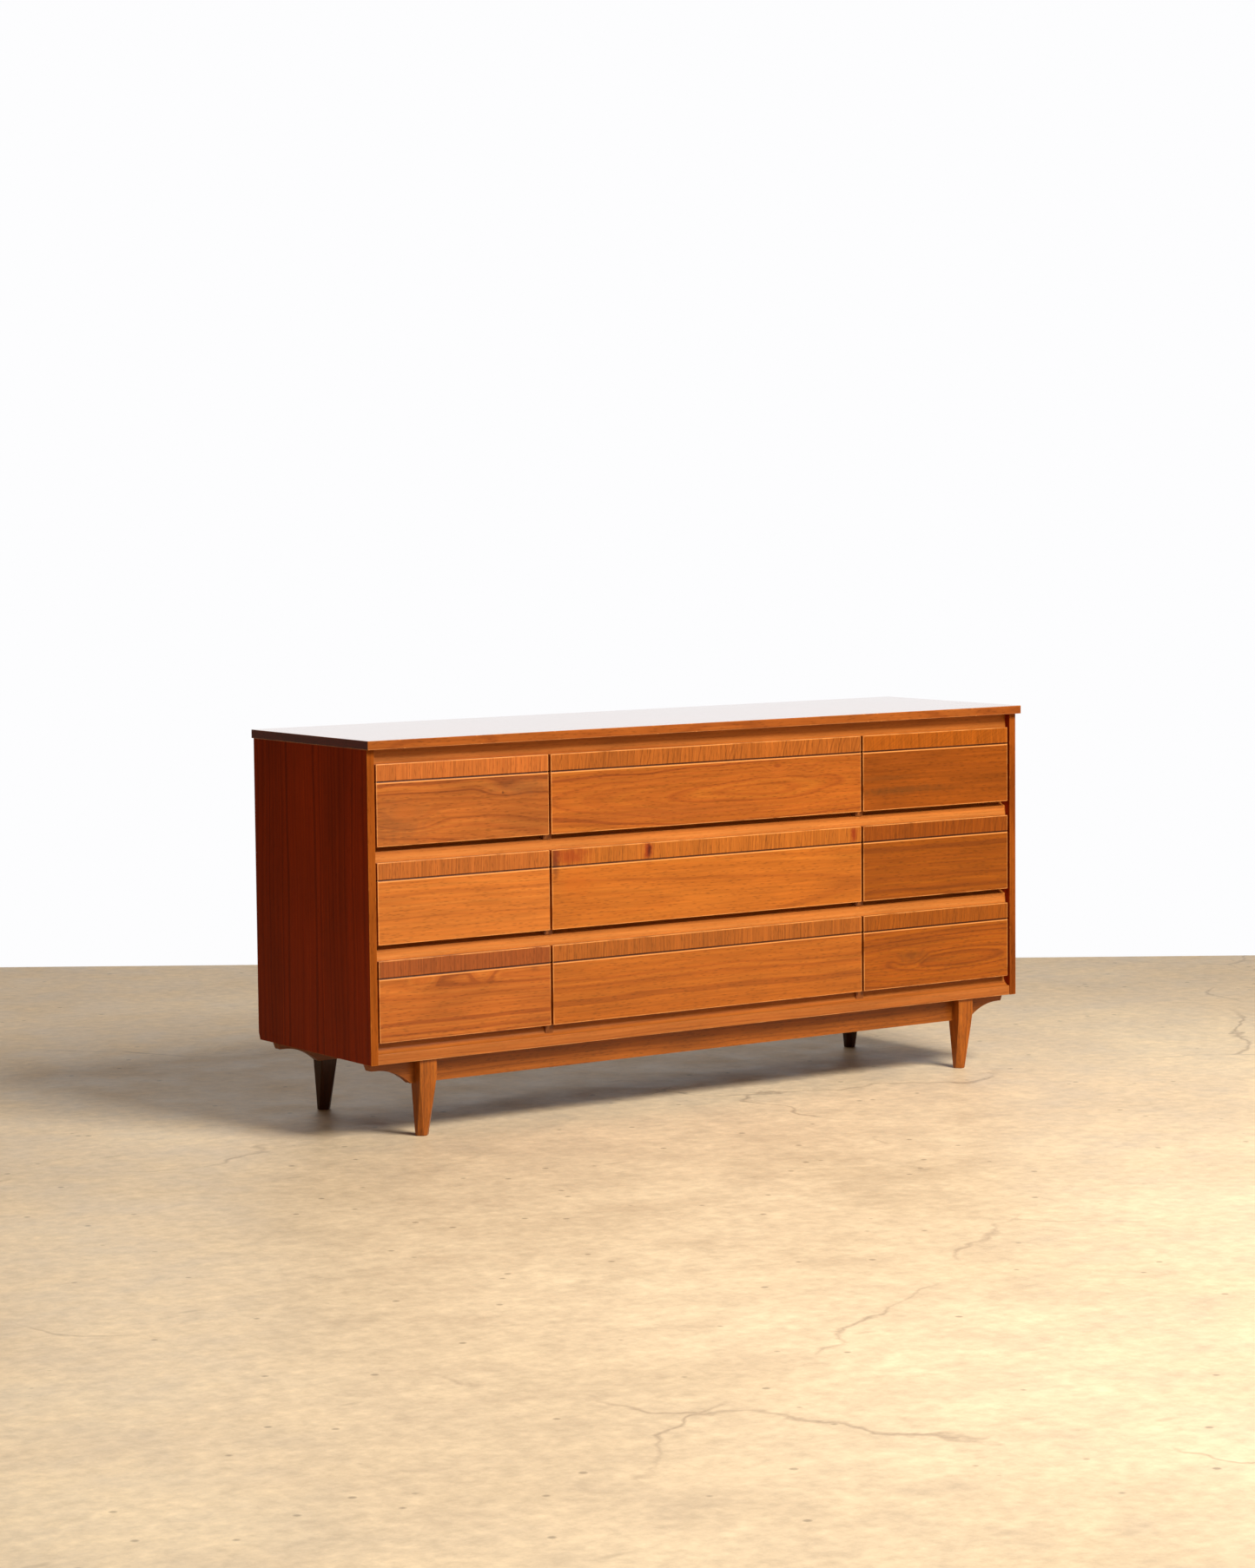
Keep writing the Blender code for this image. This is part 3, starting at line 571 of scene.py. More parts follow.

# %% [markdown]
# ## Top panel
#
# The top is a veneered slab with square edges. Its lacquer is the smoothest on the piece, so from a
# low angle it mirrors the wall behind. A rectangle carried along the width makes it, with arrises a
# little over a millimetre wide, and small knocks have bared pale wood along its edges, which also
# carry a painted highlight. Its two ends are coloured as deep as the sides, the same painted shade,
# so the material has two figures, and COMPARE keeps the paler one to the places between the ends.

# %% Top panel
low, high = box_of("top_panel")
SKIN = 0.0008                   # how deep a facing veneer's own figure reaches round its arris
TOP_GRAIN = dict(axes="XYZ", dark="#8a4018", mid="#b8662c", light="#c87a3c", ring=0.012, contrast=0.4,
                 blotch=0.08, middle=(0.1, 0.09), lean=0.05, depth=0.02, sway=0.05, seed=4.0)
# The ends' near-black red is painted shade, as on the sides.
END_GRAIN = dict(axes="YXZ", dark="#3c0e04", mid="#561a08", light="#642208", ring=0.006, middle=(0.0, 0.4),
                 seed=5.0, stain=(1.0, 0.10, 0.02))
centre_x, half_x = (low[0] + high[0]) / 2, (high[0] - low[0]) / 2
top_walnut = veneer("lacquered_walnut_top", END_GRAIN, band=TOP_GRAIN,
                    split=("X", "COMPARE", centre_x, half_x - SKIN), box=(low, high), gloss=0.22, coat=1.0,
                    coat_roughness=0.05, wear_and_highlight=0.75, width=0.0022, shine=0.2, ripple=0.03, chips=6.0)
slab = straight(rectangle((low[1], low[2]), (high[1], high[2])), np.linspace(low[0], high[0], 5), "X")
piece("top_panel_slab", [carried(slab)], "case", ["top_panel"],
      top_walnut, ease=0.0012)
print("top", [round(b - a, 4) for a, b in zip(low, high)])

# %% [markdown]
# ## Side panels
#
# Each side is one full-depth board. Its colour is set much darker and redder than the fronts': a
# painted shade, the dark of the shaded left end given to both sides. Its section, seen from above,
# has a rabbet along the back that takes the back panel, and the section is carried up the height. At
# the very bottom its back edge leans forward, which makes the clipped lower corner.

# %% Side panels
RABBET_DEPTH, CLIP_HEIGHT, CLIP_DEPTH = 0.009, 0.014, 0.006
GAP = 0.0003                    # the hair's breadth by which joined boards miss each other
back_low, back_high = box_of("back_panel")


def side_panel(name, sign):
    """A plan outline with a rabbet at three heights; the lowest one's back edge is clipped."""
    low, high = box_of(name)
    outer, inner = (low[0], high[0]) if sign < 0 else (high[0], low[0])
    lap = inner + sign * RABBET_DEPTH
    front, back, seat = low[1], high[1], back_low[1] - GAP
    rings = []
    for z, edge in ((low[2], back - CLIP_DEPTH), (low[2] + CLIP_HEIGHT, back), (high[2], back)):
        inside = min(seat, edge)
        plan = [(outer, front), (outer, edge), (lap, edge), (lap, inside), (inner, inside), (inner, front)]
        rings.append([(x, y, z) for x, y in plan])
    return carried(rings), (low, high)


for name, sign, seed in (("left_side_panel", -1, 9.0), ("right_side_panel", 1, 2.6)):
    solid, box = side_panel(name, sign)
    # Painted shade: these deep red tones and stain give both sides the dark of the shaded left end.
    grain = dict(axes="ZYX", dark="#5c1c06", mid="#7e2a0a", light="#8c340e", ring=0.010,
                 middle=(0.2, 0.06), lean=0.012, depth=0.004, sway=0.03, seed=seed, fibre=0.18, blotch=0.12,
                 pores=0.16, leaf=0.092, stain=(1.40, 1.12, 0.22))
    edging = dict(axes="ZYX", dark="#7c3a14", mid="#a8581e", light="#ba6a2a", ring=0.006, middle=(0.0, 0.9),
                  seed=seed + 1.0)
    finish = veneer("lacquered_walnut_" + name, grain, band=edging,
                    split=("Y", "LESS_THAN", box[0][1] + SKIN), box=box, gloss=0.32, coat=0.03, wear_and_highlight=0.6,
                    wear_and_highlight_tone="#b9702c", width=0.0018, shine=0.04, chips=4.0)
    piece(name + "_board", [solid], "case", [name], finish, ease=0.0010)
    print(name, [round(b - a, 4) for a, b in zip(*box)])

# %% [markdown]
# ## Drawer fronts
#
# A front is a lipped board: an 11 mm plate that covers its opening, and a block behind that enters
# it. The plate's section has a V-groove 34 mm under its top edge. Above the groove the veneer stands
# upright, below it the veneer runs long. No two fronts were cut from the same leaf, so each has its
# own tone, ring width, arches and knots. The right-hand ones come from a browner log, and part of
# their darkness is painted shade, which keeps the right of the front darker than the left. The ends
# of the block show the dovetails of the oak sides. The rows below hold the veneer's own numbers:
# tones of the dark, middle and light wood, ring width, the place of the arches' axis, and so on.

# %% Drawer fronts
PATCHES = dict(
    upper_left=((-0.745, 0.615, 0.085, 0.055, "#6a4020", 0.4),
                (-0.726, 0.634, 0.034, 0.018, "#a8581c", 0.5), (-0.455, 0.672, 0.09, 0.02, "#6a4020", 0.4),
                (-0.5, 0.662, 0.004, 0.003, "#3a1a0a", 0.8)),
    upper_middle=((-0.1, 0.6, 0.3, 0.016, "#8a4416", 0.3), (0.17, 0.668, 0.024, 0.011, "#a8581c", 0.35)),
    upper_right=((0.5, 0.612, 0.15, 0.01, "#55300c", 0.55), (0.45, 0.64, 0.11, 0.006, "#55300c", 0.35)),
    central_middle=((-0.38, 0.521, 0.012, 0.036, "#3a100a", 0.75),
                    (-0.345, 0.527, 0.05, 0.022, "#822400", 0.62),
                    (-0.155, 0.526, 0.012, 0.026, "#7a1e02", 0.85),
                    (-0.153, 0.524, 0.005, 0.018, "#360a02", 0.8),
                    (0.368, 0.527, 0.009, 0.022, "#7a1e02", 0.8),
                    (-0.33, 0.47, 0.045, 0.03, "#b0560f", 0.35)),
    lower_right=((0.523, 0.258, 0.04, 0.012, "#5c300a", 0.5), (0.56, 0.246, 0.07, 0.007, "#5c300a", 0.35)),
    lower_left=((-0.69, 0.31, 0.03, 0.012, "#b8621e", 0.45), (-0.432, 0.312, 0.012, 0.01, "#6a3410", 0.45)),
)
LIP, BLOCK, GROOVE_DROP, GROOVE_WIDTH, GROOVE_DEPTH = 0.011, 0.009, 0.034, 0.003, 0.002
BLOCK_RISE, BLOCK_DROP, BLOCK_BITE = 0.0055, 0.0100, 0.001
FACE_KEYS = ("dark", "mid", "light", "ring", "middle", "lean", "depth", "sway", "seed")
# The right-hand column's darker tones are partly a browner log and partly painted shade.
FACE = dict(
    upper_left=("#8c4418", "#bd6a2e", "#d4833f", 0.011, (-0.74, 0.6), 0.1, 0.012, 0.06, 1.0),
    upper_middle=("#98481a", "#c36a2a", "#d88238", 0.009, (0.45, 0.66), 0.09, 0.03, 0.05, 2.0),
    upper_right=("#7c3a0e", "#ad5c1c", "#c4722a", 0.007, (0.3, 0.5), 0.01, 0.01, 0.03, 3.0),
    central_left=("#c06e30", "#d98038", "#e48f46", 0.012, (-0.6, 0.36), 0.02, 0.01, 0.03, 5.0),
    central_middle=("#b86426", "#d27830", "#de873c", 0.014, (-0.36, 0.44), 0.05, 0.02, 0.04, 6.0),
    central_right=("#8c4810", "#a85a16", "#b96a20", 0.012, (0.6, 0.36), 0.01, 0.02, 0.03, 7.0),
    lower_left=("#9a4c1e", "#c46e2e", "#d8843e", 0.009, (-0.3, 0.318), 0.06, 0.008, 0.03, 8.0),
    lower_middle=("#aa5a24", "#c8702c", "#d47e38", 0.013, (0.2, 0.22), 0.01, 0.01, 0.03, 10.0),
    lower_right=("#8a4412", "#b4601e", "#c6742c", 0.008, (0.7, 0.255), 0.11, 0.006, 0.02, 11.0),
)
FACE_EXTRAS = dict(
    upper_left=dict(blotch=0.22, knots=((-0.5, 0.665, 0.034, 0.014), (-0.72, 0.62, 0.045, 0.02))),
    upper_middle=dict(blotch=0.12, contrast=0.62,
                      knots=((0.17, 0.672, 0.022, 0.018), (0.255, 0.668, 0.02, 0.016))),
    upper_right=dict(contrast=0.12),
    central_left=dict(blotch=0.08),
    central_middle=dict(blotch=0.08),
    central_right=dict(blotch=0.08),
    lower_left=dict(knots=((-0.69, 0.308, 0.02, 0.018), (-0.55, 0.308, 0.02, 0.016))),
    lower_middle=dict(blotch=0.08),
    lower_right=dict(knots=((0.52, 0.255, 0.024, 0.02),)),
)
BAND_KEYS = ("dark", "mid", "light", "ring", "lean", "sway", "seed")
BAND = dict(
    upper_left=("#a9582a", "#cc7438", "#dd8a4a", 0.0038, 0.3, 0.02, 21.0),
    upper_middle=("#7c3c16", "#bd6a2e", "#d27f3e", 0.0035, 0.5, 0.06, 22.0),
    upper_right=("#985018", "#b86424", "#ca7832", 0.0031, 1.4, 0.05, 23.0),
    central_left=("#94481c", "#c47032", "#d58443", 0.0031, 0.3, 0.02, 25.0),
    central_middle=("#9e5020", "#cc7632", "#db883e", 0.0038, 0.4, 0.04, 26.0),
    central_right=("#804010", "#a25418", "#b46622", 0.0042, 0.4, 0.05, 27.0),
    lower_left=("#7c3a18", "#a8582a", "#bd6c36", 0.0031, 0.2, 0.02, 28.0),
    lower_middle=("#8e4a20", "#bc6a2e", "#cc7c3c", 0.0035, 0.3, 0.04, 29.0),
    lower_right=("#884818", "#b06022", "#c27430", 0.0035, 0.7, 0.06, 30.0),
)


TAIL_PITCH, TAIL_HALF, TAIL_FLARE = 0.0215, 0.0055, 0.20


def dovetails(tree, place, colour, low, high, lip_back):
    """Oak tails let into the ends of the block: half width = 5.5 mm + 0.2 * distance from its back.

    A tail is where the distance from the middle of its pitch is under that half width, on the
    block's two end faces only. A fine dark line of glue runs round it.
    """
    x, y, z = put(tree, "SeparateXYZ", None, [place]).outputs
    end = (high - low) / 2 - 0.0005
    off = put(tree, "Math", SIZE, [put(tree, "Math", SUBTRACT, [x, (low + high) / 2])])
    on_end = put(tree, "Math", {"operation": "GREATER_THAN"}, [off, end])
    behind = put(tree, "Math", {"operation": "GREATER_THAN"}, [y, lip_back])
    inside = put(tree, "Math", MULTIPLY, [on_end, behind])
    wave = put(tree, "Math", {"operation": "PINGPONG"}, [z, TAIL_PITCH / 2])
    from_back = put(tree, "Math", SUBTRACT, [lip_back + BLOCK, y])
    half = put(tree, "Math", {"operation": "MULTIPLY_ADD"}, [from_back, TAIL_FLARE, TAIL_HALF])
    depth = put(tree, "Math", SUBTRACT, [half, wave])
    tail = put(tree, "Math", {"operation": "GREATER_THAN"}, [depth, 0.0])
    glue = put(tree, "MapRange", None, [put(tree, "Math", SIZE, [depth]), 0.0003, 0.0007, 0.8, 0.0])
    tails, lines = put(tree, "Math", MULTIPLY, [inside, tail]), put(tree, "Math", MULTIPLY, [inside, glue])
    oak = put(tree, "Mix", TINT, {0: tails, 6: colour, 7: linear("#c79a68")})
    return put(tree, "Mix", TINT, {0: lines, 6: oak, 7: linear("#3a2010")})


# Lower factors to the right: partly a browner log, partly painted shade that darkens the right-hand fronts.
COLUMN_STAIN_AND_SHADE = dict(left=(0.64, 0.57, 0.36), middle=(0.60, 0.54, 0.27), right=(0.59, 0.50, 0.09))


def drawer_front(name, block_span):
    """The grooved plate carried along the width, and the block behind it."""
    low, high = box_of(name)
    face, back = low[1], low[1] + LIP
    groove = high[2] - GROOVE_DROP
    section = [(back, low[2]), (back, high[2]), (face, high[2]), (face, groove + GROOVE_WIDTH / 2),
               (face + GROOVE_DEPTH, groove), (face, groove - GROOVE_WIDTH / 2), (face, low[2])]
    plate = carried(straight(section, [low[0], high[0]], "X"))
    back_outline = rectangle((back - BLOCK_BITE, low[2] + BLOCK_RISE), (back + BLOCK, high[2] - BLOCK_DROP))
    block = carried(straight(back_outline, block_span, "X"))
    return [plate, block], (low, (high[0], back, high[2])), groove


for drawer in FACE:
    low, high = box_of(drawer + "_drawer_box")
    solids, box, groove = drawer_front(drawer + "_drawer_front", [low[0], high[0]])
    middle_x = (box[0][0] + box[1][0]) / 2
    stain = COLUMN_STAIN_AND_SHADE[drawer.split("_")[1]]
    face = dict(zip(FACE_KEYS, FACE[drawer]), axes="XZY", stain=stain, **FACE_EXTRAS.get(drawer, {}))
    upright = dict(zip(BAND_KEYS, BAND[drawer]), axes="ZXY", stain=stain, middle=(0.0, middle_x + 0.9),
                   depth=0.02, fibre=0.30, blotch=0.10, contrast=0.42)
    finish = veneer("lacquered_walnut_" + drawer, face, band=upright, split=("Z", "GREATER_THAN", groove),
                    box=box, groove=groove, patches=PATCHES.get(drawer, ()), wear_and_highlight_tone="#dc9450", wear_and_highlight=0.7,
                    width=0.0024, patch=(0.28, 0.52), joint=(low[0], high[0], box[1][1] + 0.0002))
    piece(drawer + "_drawer_face", solids, drawer + "_drawer", [drawer + "_drawer_front"],
          finish, ease=0.0009)
low, high = box_of("upper_middle_drawer_front")
print("made", len(FACE), "drawer fronts, the middle ones", round(high[0] - low[0], 3), "m wide")

# %% [markdown]
# ## Front rails
#
# The rails between the rows are set back and have a scooped top edge, so that fingers can reach
# under the front above: these drawers have no pulls. Each rail is its section carried along the
# width. The cove is a quarter circle of 24 short steps, which the smooth shading joins.

# %% Front rails
ROW_BOTTOM = {row: box_of(row + "_middle_drawer_front")[0][2] for row in ("upper", "central", "lower")}
SLIT, COVE, BOTTOM_COVE, BOTTOM_FACE = 0.010, 0.014, 0.018, 0.020
SETBACK, CANT, BOTTOM_SETBACK = 0.013, 0.003, 0.0015
CASE_FRONT = box_of("left_side_panel")[0][1]


def coved_rail(name, face_top, setback, cant, radius):
    """A rail's section in depth and height: leaning face, quarter-circle cove, flat top and back."""
    low, high = box_of(name)
    face = CASE_FRONT + setback
    cove = arc((face + cant, face_top + radius), radius, -90, 0)
    cove = cove[cove[:, 1] < high[2] - 1e-5]
    corner = [(face + cant + radius, high[2]), (high[1], high[2]), (high[1], low[2]), (face, low[2])]
    section = np.vstack([cove, corner])
    return carried(straight(section, np.linspace(low[0], high[0], 9), "X")), (low, high)


def rail_finish(name, box, mid, light, dark, seed):
    """Solid walnut with the grain along the rail, a little paler than the fronts."""
    grain = dict(axes="XZY", dark=dark, mid=mid, light=light, ring=0.009, lean=0.006, seed=seed,
                 middle=(0.0, box[0][2] - 0.03), depth=0.01, sway=0.02, blotch=0.10, fibre=0.18, pores=0.16,
                 stain=(0.66, 0.60, 0.42))
    return veneer("lacquered_walnut_" + name, grain, box=box, gloss=0.36, wear_and_highlight_tone="#f0b878", wear_and_highlight=0.4)


top_low, top_high = box_of("top_rail")
top_section = [(top_low[1], top_low[2]), (top_high[1], top_low[2]), (top_high[1], top_high[2]),
               (top_low[1] + CANT, top_high[2])]
top_strip = carried(straight(top_section, np.linspace(top_low[0], top_high[0], 9), "X"))
piece("top_rail_strip", [top_strip], "case", ["top_rail"],
      rail_finish("top_rail", (top_low, top_high), "#cf7a36", "#dc8c48", "#b86428", 41.0))
for name, row, seed in (("upper_middle_rail", "upper", 42.0), ("lower_middle_rail", "central", 43.0)):
    solid, box = coved_rail(name, ROW_BOTTOM[row] - SLIT, SETBACK, CANT, COVE)
    piece(name + "_strip", [solid], "case", [name],
          rail_finish(name, box, "#d98440", "#e69a58", "#c47030", seed))
solid, box = coved_rail("bottom_rail", box_of("bottom_rail")[0][2] + BOTTOM_FACE, BOTTOM_SETBACK, 0.0,
                        BOTTOM_COVE)
piece("bottom_rail_strip", [solid], "case", ["bottom_rail"],
      rail_finish("bottom_rail", box, "#c07034", "#d08448", "#a05424", 44.0))
print("rails", [round(v * 1000, 1) for v in (COVE, BOTTOM_COVE)], "mm cove radius")

# %% [markdown]
# ## Aprons
#
# Under the case a long apron joins the legs. Past each leg it ends in a hollow-cut bracket: its
# lower edge rises in an arc to a narrow end. The outline is worked out in width and height, with
# the arc tangent to the flat end, and carried through the board's thickness.

# %% Aprons
END_INSET, END_SLANT, END_HEIGHT, ARC_START, ARC_END = 0.0105, 0.006, 0.0160, 0.026, 0.105
case_left, case_right = box_of("left_side_panel")[0][0], box_of("right_side_panel")[1][0]


def apron(name):
    """A closed outline, mirrored about the middle of the case, carried through the thickness."""
    low, high = box_of(name)
    end_bottom = high[2] + GAP - END_HEIGHT
    run, drop = ARC_END - ARC_START, end_bottom - low[2]
    radius = (run ** 2 + drop ** 2) / (2 * drop)
    sweep = math.degrees(math.asin(run / radius))
    half = np.vstack([[(END_INSET, high[2]), (END_INSET + END_SLANT, end_bottom)],
                      arc((ARC_START, end_bottom - radius), radius, 90, 90 - sweep, 28)])
    other = half[::-1].copy()
    other[:, 0] = case_right - other[:, 0]
    half[:, 0] += case_left
    return carried(straight(np.vstack([half, other]), [low[1], high[1]], "Y")), (low, high)


BASE_GRAIN = dict(ring=0.008, lean=0.008, depth=0.01, sway=0.03, blotch=0.14, stain=(0.60, 0.52, 0.24))
APRON_TONE = dict(axes="XZY", dark="#8a4820", mid="#b26630", light="#c07238")
for name, seed in (("front_apron", 51.0), ("back_apron", 52.0)):
    solid, box = apron(name)
    grain = dict(BASE_GRAIN, seed=seed, middle=(0.0, 0.04), **APRON_TONE)
    finish = veneer("lacquered_walnut_" + name, grain, box=box, wear_and_highlight=0.3)
    piece(name + "_board", [solid], "case", [name], finish)
    print(name, [round(b - a, 4) for a, b in zip(*box)])

# %% [markdown]
# ## Legs
#
# A leg is square down to its knee and tapers below it: its sides draw in, its front and back faces
# lean back, and its four corners are planed off in facets that widen towards the floor. At any
# height the outline is an eight-sided ring. Its corners move in straight lines from the knee to the
# foot, so the whole leg is that ring carried down the height.

# %% Legs
LEG_WIDTH, LEG_DEPTH, KNEE = 0.039, 0.036, 0.122
OUTER_IN, INNER_IN, FRONT_LEAN, BACK_LEAN, FACET = 0.0050, 0.0085, 0.0125, 0.0025, 0.0090


def leg(name, out_x):
    """An eight-sided ring at each height, from the leg's own square and its foot's taper."""
    low, high = box_of(name)
    out_side = low[0] if out_x < 0 else high[0]
    centre_x = out_side - out_x * LEG_WIDTH / 2
    front = low[1]
    heights = np.array([0.0, 0.0012, 0.03, 0.06, 0.09, KNEE, high[2]])
    taper = np.clip(1 - heights / KNEE, 0, 1)[:, None]
    outer, inner = LEG_WIDTH / 2 - OUTER_IN * taper, LEG_WIDTH / 2 - INNER_IN * taper
    near, far = front + FRONT_LEAN * taper, front + LEG_DEPTH + BACK_LEAN * taper
    cut = np.maximum(FACET * taper, 0.0007)
    shrink = np.where(heights == 0.0, 0.0010, 0.0)[:, None]
    outer, inner, near, far = outer - shrink, inner - shrink, near + shrink, far - shrink
    xs = np.hstack([outer, outer, outer - cut, -inner + cut, -inner, -inner, -inner + cut, outer - cut])
    ys = np.hstack([near + cut, far - cut, far, far, far - cut, near + cut, near, near])
    zs = np.repeat(heights[:, None], 8, axis=1)
    return carried(np.stack([centre_x + xs * out_x, ys, zs], axis=-1)), (low, high)


for name, out_x, seed in (("front_left_leg", -1, 61.0), ("front_right_leg", 1, 62.0),
                          ("back_left_leg", -1, 63.0), ("back_right_leg", 1, 64.0)):
    solid, box = leg(name, out_x)
    # Painted shade: the back legs' dark tones stand for the shadow of the case they stand in.
    tone = dict(dark="#7c3c14", mid="#c06c2a", light="#d4823c") if "front" in name else dict(
        dark="#3c1c0c", mid="#54290f", light="#643516")
    grain = dict(BASE_GRAIN, axes="ZXY", seed=seed, middle=(0.0, box[0][0] - 0.05), fibre=0.36, **tone)
    finish = veneer("lacquered_walnut_" + name, grain, gloss=0.36)
    piece(name + "_post", [solid], "case", [name], finish, ease=0.0006, segments=2)
print("legs taper to", round((LEG_WIDTH - OUTER_IN - INNER_IN) * 1000, 1), "mm wide at the floor")

# %% [markdown]
# ## Inside the case
#
# The partitions, guides and rear rails are plain boards whose CAD shapes are right, so those nodes
# stay and only get their wood. Guides and rear rails are unfinished beech: pale and pinkish brown,
# with very fine short flecks and no gloss, greyed by dust in slow clouds.


# %% Bare wood
def bare_wood(name, grain, other=None, split=None, roughness=0.62, grime=0.35):
    """Sanded, unfinished wood: the figure, a dusty grime in slow clouds, and no coat."""
    material, tree, shader = new_tree(name)
    place = put(tree, "TexCoord").outputs["Object"]
    colour, relief = two_figures(tree, place, grain, other, split)
    dust = put(tree, "TexNoise", None, {"Vector": place, "Scale": 9.0, "Detail": 5.0})
    dirty = put(tree, "MapRange", None, [dust, 0.45, 0.75, 0.0, grime])
    aged = put(tree, "Mix", TINT, {0: dirty, 6: colour, 7: linear("#6f5438")})
    tree.links.new(aged.outputs[2], shader.inputs["Base Color"])
    rough = put(tree, "MapRange", None, [relief, 0.2, 0.8, roughness - 0.06, roughness + 0.08])
    tree.links.new(rough.outputs[0], shader.inputs["Roughness"])
    bump = put(tree, "Bump", None, {"Strength": 0.3, "Distance": 0.0006, "Height": relief})
    tree.links.new(bump.outputs[0], shader.inputs["Normal"])
    shader.inputs["Specular IOR Level"].default_value = 0.3
    return material


def dress(node, material):
    """Gives a CAD node its material in every slot."""
    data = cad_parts[node].data
    for index in range(len(data.materials)):
        data.materials[index] = material
    if not len(data.materials):
        data.materials.append(material)


BEECH = dict(stain=(1.0, 1.0, 1.0), dark="#a97a4c", mid="#c4976a", light="#d2a87c", ring=0.006,
             lean=0.02, sway=0.01, pores=0.16, fibre=0.14, blotch=0.10)
beech_long = bare_wood("bare_beech_rails", dict(BEECH, axes="XZY", seed=71.0, middle=(0.0, 0.9)))
beech_deep = bare_wood("bare_beech_guides", dict(BEECH, axes="YXZ", seed=72.0, middle=(0.0, 1.3)))
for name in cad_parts:
    if name.endswith("_guide"):
        dress(name, beech_deep)
    elif name.startswith("rear_"):
        dress(name, beech_long)
partition_walnut = veneer("lacquered_walnut_partitions", dict(
    axes="ZYX", dark="#8a4a20", mid="#b46c34", light="#c88248", ring=0.010, middle=(0.0, 0.5), seed=73.0))
for name in ("left_partition", "right_partition"):
    dress(name, partition_walnut)
print("dressed", sum(name.endswith("_guide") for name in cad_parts), "guides")

# %% [markdown]
# ## Drawer boxes and bottoms
#
# The boxes are thin oak boards: straw-coloured, straight-grained and only sealed. The bottoms are
# thin oak plywood with two beech runners. Their shapes come straight from the CAD nodes. The grain
# of the sides runs front to back and that of the back runs across, so the material changes axis at
# the back board.

# %% Drawer boxes and bottoms
OAK = dict(stain=(1.0, 1.0, 1.0), contrast=0.4, dark="#a97c4e", mid="#c79a68", light="#d8b080",
           ring=0.007, lean=0.02, sway=0.02, pores=0.26, fibre=0.20, blotch=0.10, middle=(0.0, 0.9))
BACK_BOARD = 0.011
back_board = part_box("upper_left_drawer_box")[1][1] - BACK_BOARD
oak_sides = bare_wood("sealed_oak_drawer_sides", dict(OAK, axes="YZX", seed=81.0),
                      dict(OAK, axes="XZY", seed=83.0), ("Y", "GREATER_THAN", back_board),
                      roughness=0.5, grime=0.22)
oak_leaf = dict(OAK, axes="XYZ", seed=82.0, lean=0.06, ring=0.012, middle=(0.2, 0.0))
oak_sheet = bare_wood("oak_plywood_drawer_bottoms", oak_leaf, roughness=0.55, grime=0.25)
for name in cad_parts:
    if name.endswith("_drawer_box"):
        dress(name, oak_sides)
    elif name.endswith("_drawer_bottom"):
        dress(name, oak_sheet)
print("dressed", sum(name.endswith("_box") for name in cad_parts), "drawer boxes")

# %% [markdown]
# ## Hardboard
#
# The back and the dust panel are hardboard: wood fibre pressed in a wet mat. Its colour is an even
# warm brown with small darker fibre clumps, and the mesh it was pressed on leaves a fine texture.


# %% Hardboard
def hardboard():
    """Pressed fibre: 2 mm clumps, 60 cm water marks and a fine woven relief."""
    material, tree, shader = new_tree("pressed_hardboard")
    place = put(tree, "TexCoord").outputs["Object"]
    clumps = put(tree, "TexNoise", None, {"Vector": place, "Scale": 320.0, "Detail": 5.0})
    marks = put(tree, "TexNoise", None, {"Vector": place, "Scale": 3.0, "Detail": 6.0})
    fibre = put(tree, "ValToRGB", {"stops": [(0.35, linear("#5c3a20")), (0.52, linear("#7b5232")),
                                             (0.70, linear("#8f6540"))]}, [clumps])
    water = put(tree, "MapRange", None, [marks, 0.35, 0.65, 0.82, 1.12])
    colour = put(tree, "VectorMath", {"operation": "SCALE"}, {0: fibre, "Scale": water})
    tree.links.new(colour.outputs[0], shader.inputs["Base Color"])
    mesh_marks = put(tree, "TexChecker", None, {"Vector": place, "Scale": 500.0})
    relief = put(tree, "Math", ADD, [clumps, put(tree, "Math", MULTIPLY, [mesh_marks.outputs[1], 0.3])])
    bump = put(tree, "Bump", None, {"Strength": 0.4, "Distance": 0.0005, "Height": relief})
    tree.links.new(bump.outputs[0], shader.inputs["Normal"])
    rough = put(tree, "MapRange", None, [clumps, 0.3, 0.7, 0.62, 0.82])
    tree.links.new(rough.outputs[0], shader.inputs["Roughness"])
    shader.inputs["Specular IOR Level"].default_value = 0.25
    return material


board = hardboard()
for name in ("back_panel", "dust_panel"):
    dress(name, board)
print("back panel", [round(b - a, 4) for a, b in zip(back_low, back_high)])

# %% [markdown]
# ## Nails
#
# The back panel is nailed to the sides and rails with small domed nails about every 12 cm. One nail
# head is a dome, height = rise * cos(angle), turned about its axis, and all the heads are one mesh:
# the same dome added to each nail's place as one array sum.

# %% Nails
HEAD_RADIUS, HEAD_RISE, SPACING, SIDES = 0.0030, 0.0008, 0.12, 10


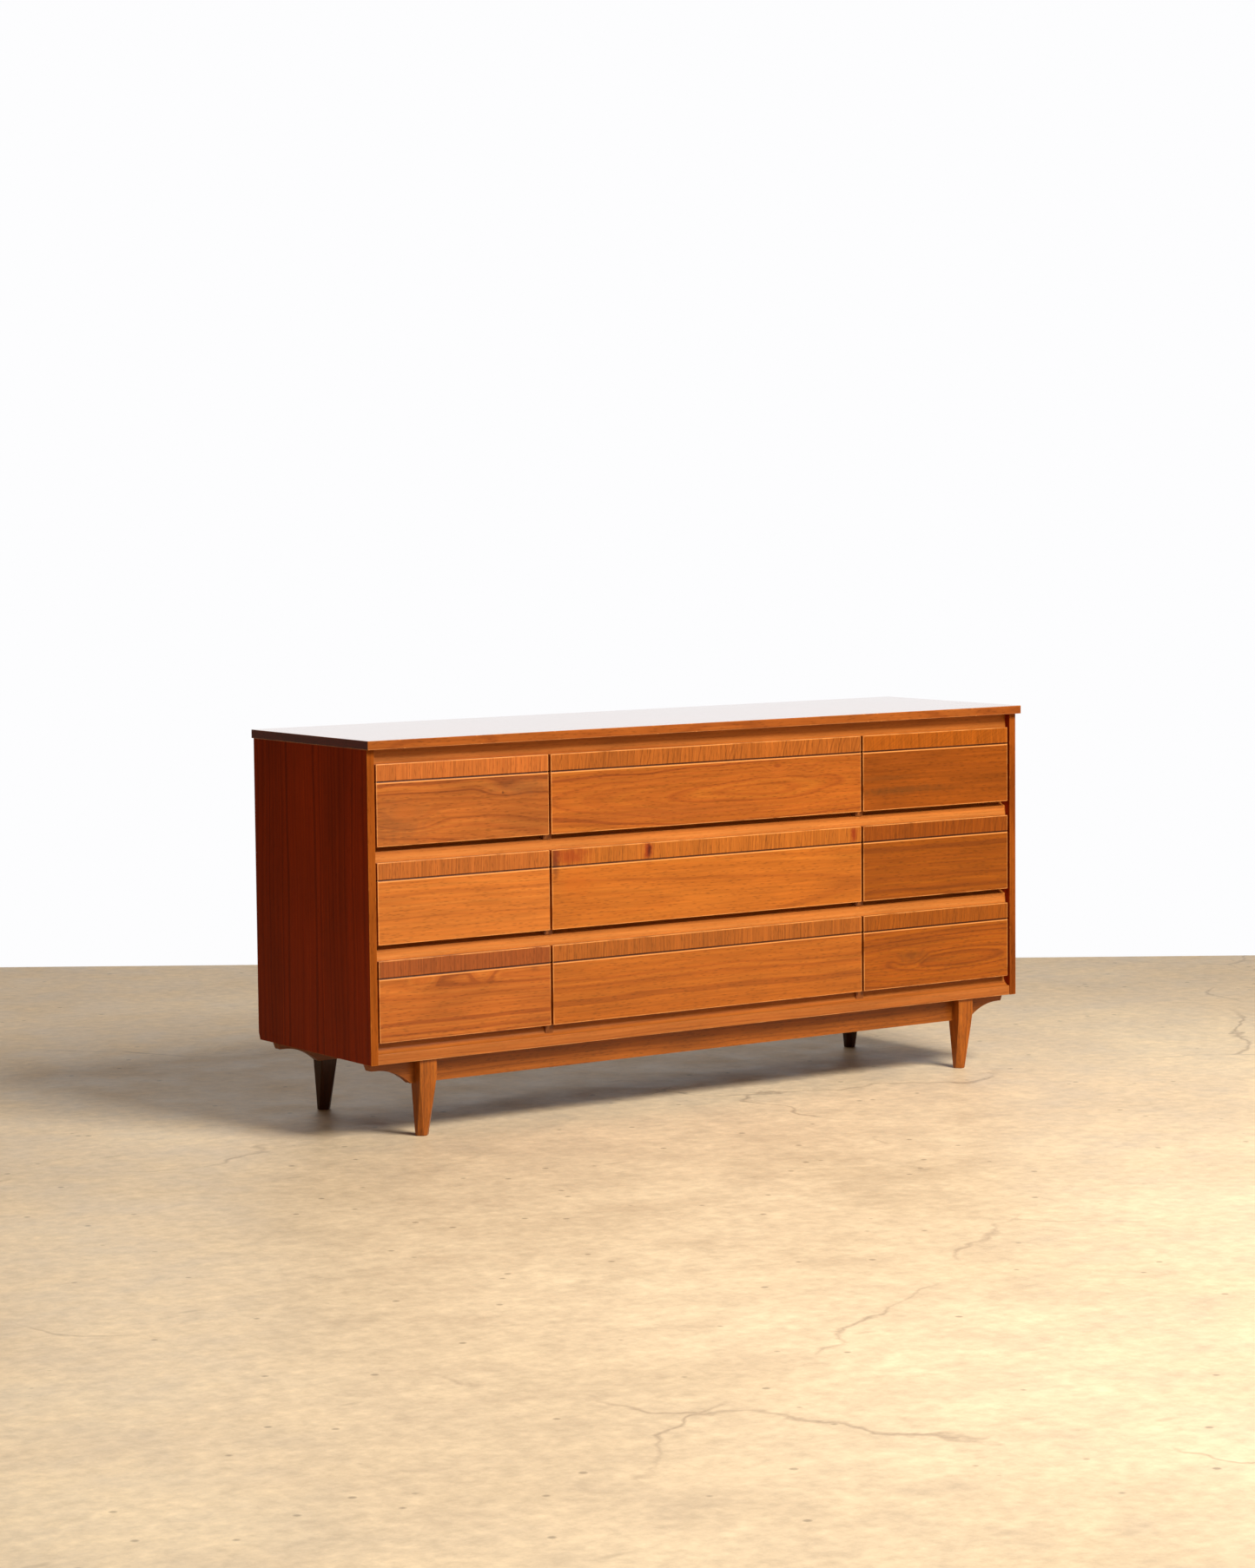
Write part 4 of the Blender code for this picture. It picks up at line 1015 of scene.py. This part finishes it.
def nail_heads(places):
    """Domes facing +Y at each place: radius * sin(a) across and rise * cos(a) out."""
    tilt = np.radians([88.0, 60.0, 30.0])
    turn = np.radians(np.arange(SIDES) * 360 / SIDES)
    a, t = np.meshgrid(tilt, turn, indexing="ij")
    across_dome, out = HEAD_RADIUS * np.sin(a), HEAD_RISE * np.cos(a)
    dome = np.stack([across_dome * np.cos(t), out, across_dome * np.sin(t)], -1).reshape(-1, 3)
    dome = np.vstack([dome, [(0.0, HEAD_RISE, 0.0)]])
    ring = np.arange(SIDES)
    turned = np.roll(ring, -1)
    band = np.stack([ring, ring + SIDES, turned + SIDES, turned], -1)
    walls = np.vstack([band, band + SIDES])
    cap = np.stack([ring + 2 * SIDES, np.full(SIDES, 3 * SIDES), turned + 2 * SIDES], -1)
    starts = np.arange(len(places))[:, None, None] * len(dome)
    faces = [face for corners in (walls, cap, ring[None, ::-1])
             for face in (corners + starts).reshape(-1, corners.shape[1]).tolist()]
    return (np.asarray(places)[:, None, :] + dome).reshape(-1, 3), faces


def steel():
    """Zinc-dulled steel wire: grey, half rough, with brown rust in spots."""
    material, tree, shader = new_tree("dull_steel_nails")
    place = put(tree, "TexCoord").outputs["Object"]
    spots = put(tree, "TexNoise", None, {"Vector": place, "Scale": 700.0, "Detail": 3.0})
    colour = put(tree, "ValToRGB", {"stops": [(0.45, linear("#8d8a84")), (0.62, linear("#6d4a33"))]}, [spots])
    tree.links.new(colour.outputs[0], shader.inputs["Base Color"])
    rough = put(tree, "MapRange", None, [spots, 0.3, 0.7, 0.35, 0.65])
    tree.links.new(rough.outputs[0], shader.inputs["Roughness"])
    shader.inputs["Metallic"].default_value = 1.0
    return material


SIDE_MARGIN, END_MARGIN = 0.006, 0.012
left, right = back_low[0] + SIDE_MARGIN, back_high[0] - SIDE_MARGIN
bottom, roof, skin = back_low[2] + END_MARGIN, back_high[2] - END_MARGIN, back_high[1]
across_run = np.linspace(left, right, int((right - left) / SPACING) + 1)
up_run = np.linspace(bottom, roof, int((roof - bottom) / SPACING) + 1)
spots = [(x, skin, z) for z in (bottom, roof) for x in across_run]
spots += [(x, skin, z) for x in (left, right) for z in up_run[1:-1]]
for divider in ("left_partition", "right_partition"):
    low, high = box_of(divider)
    spots += [((low[0] + high[0]) / 2, skin, z) for z in up_run[1:-1]]
piece("back_panel_nails", [nail_heads(spots)], "case", [], steel(), ease=0.0)
print("nails", len(spots))
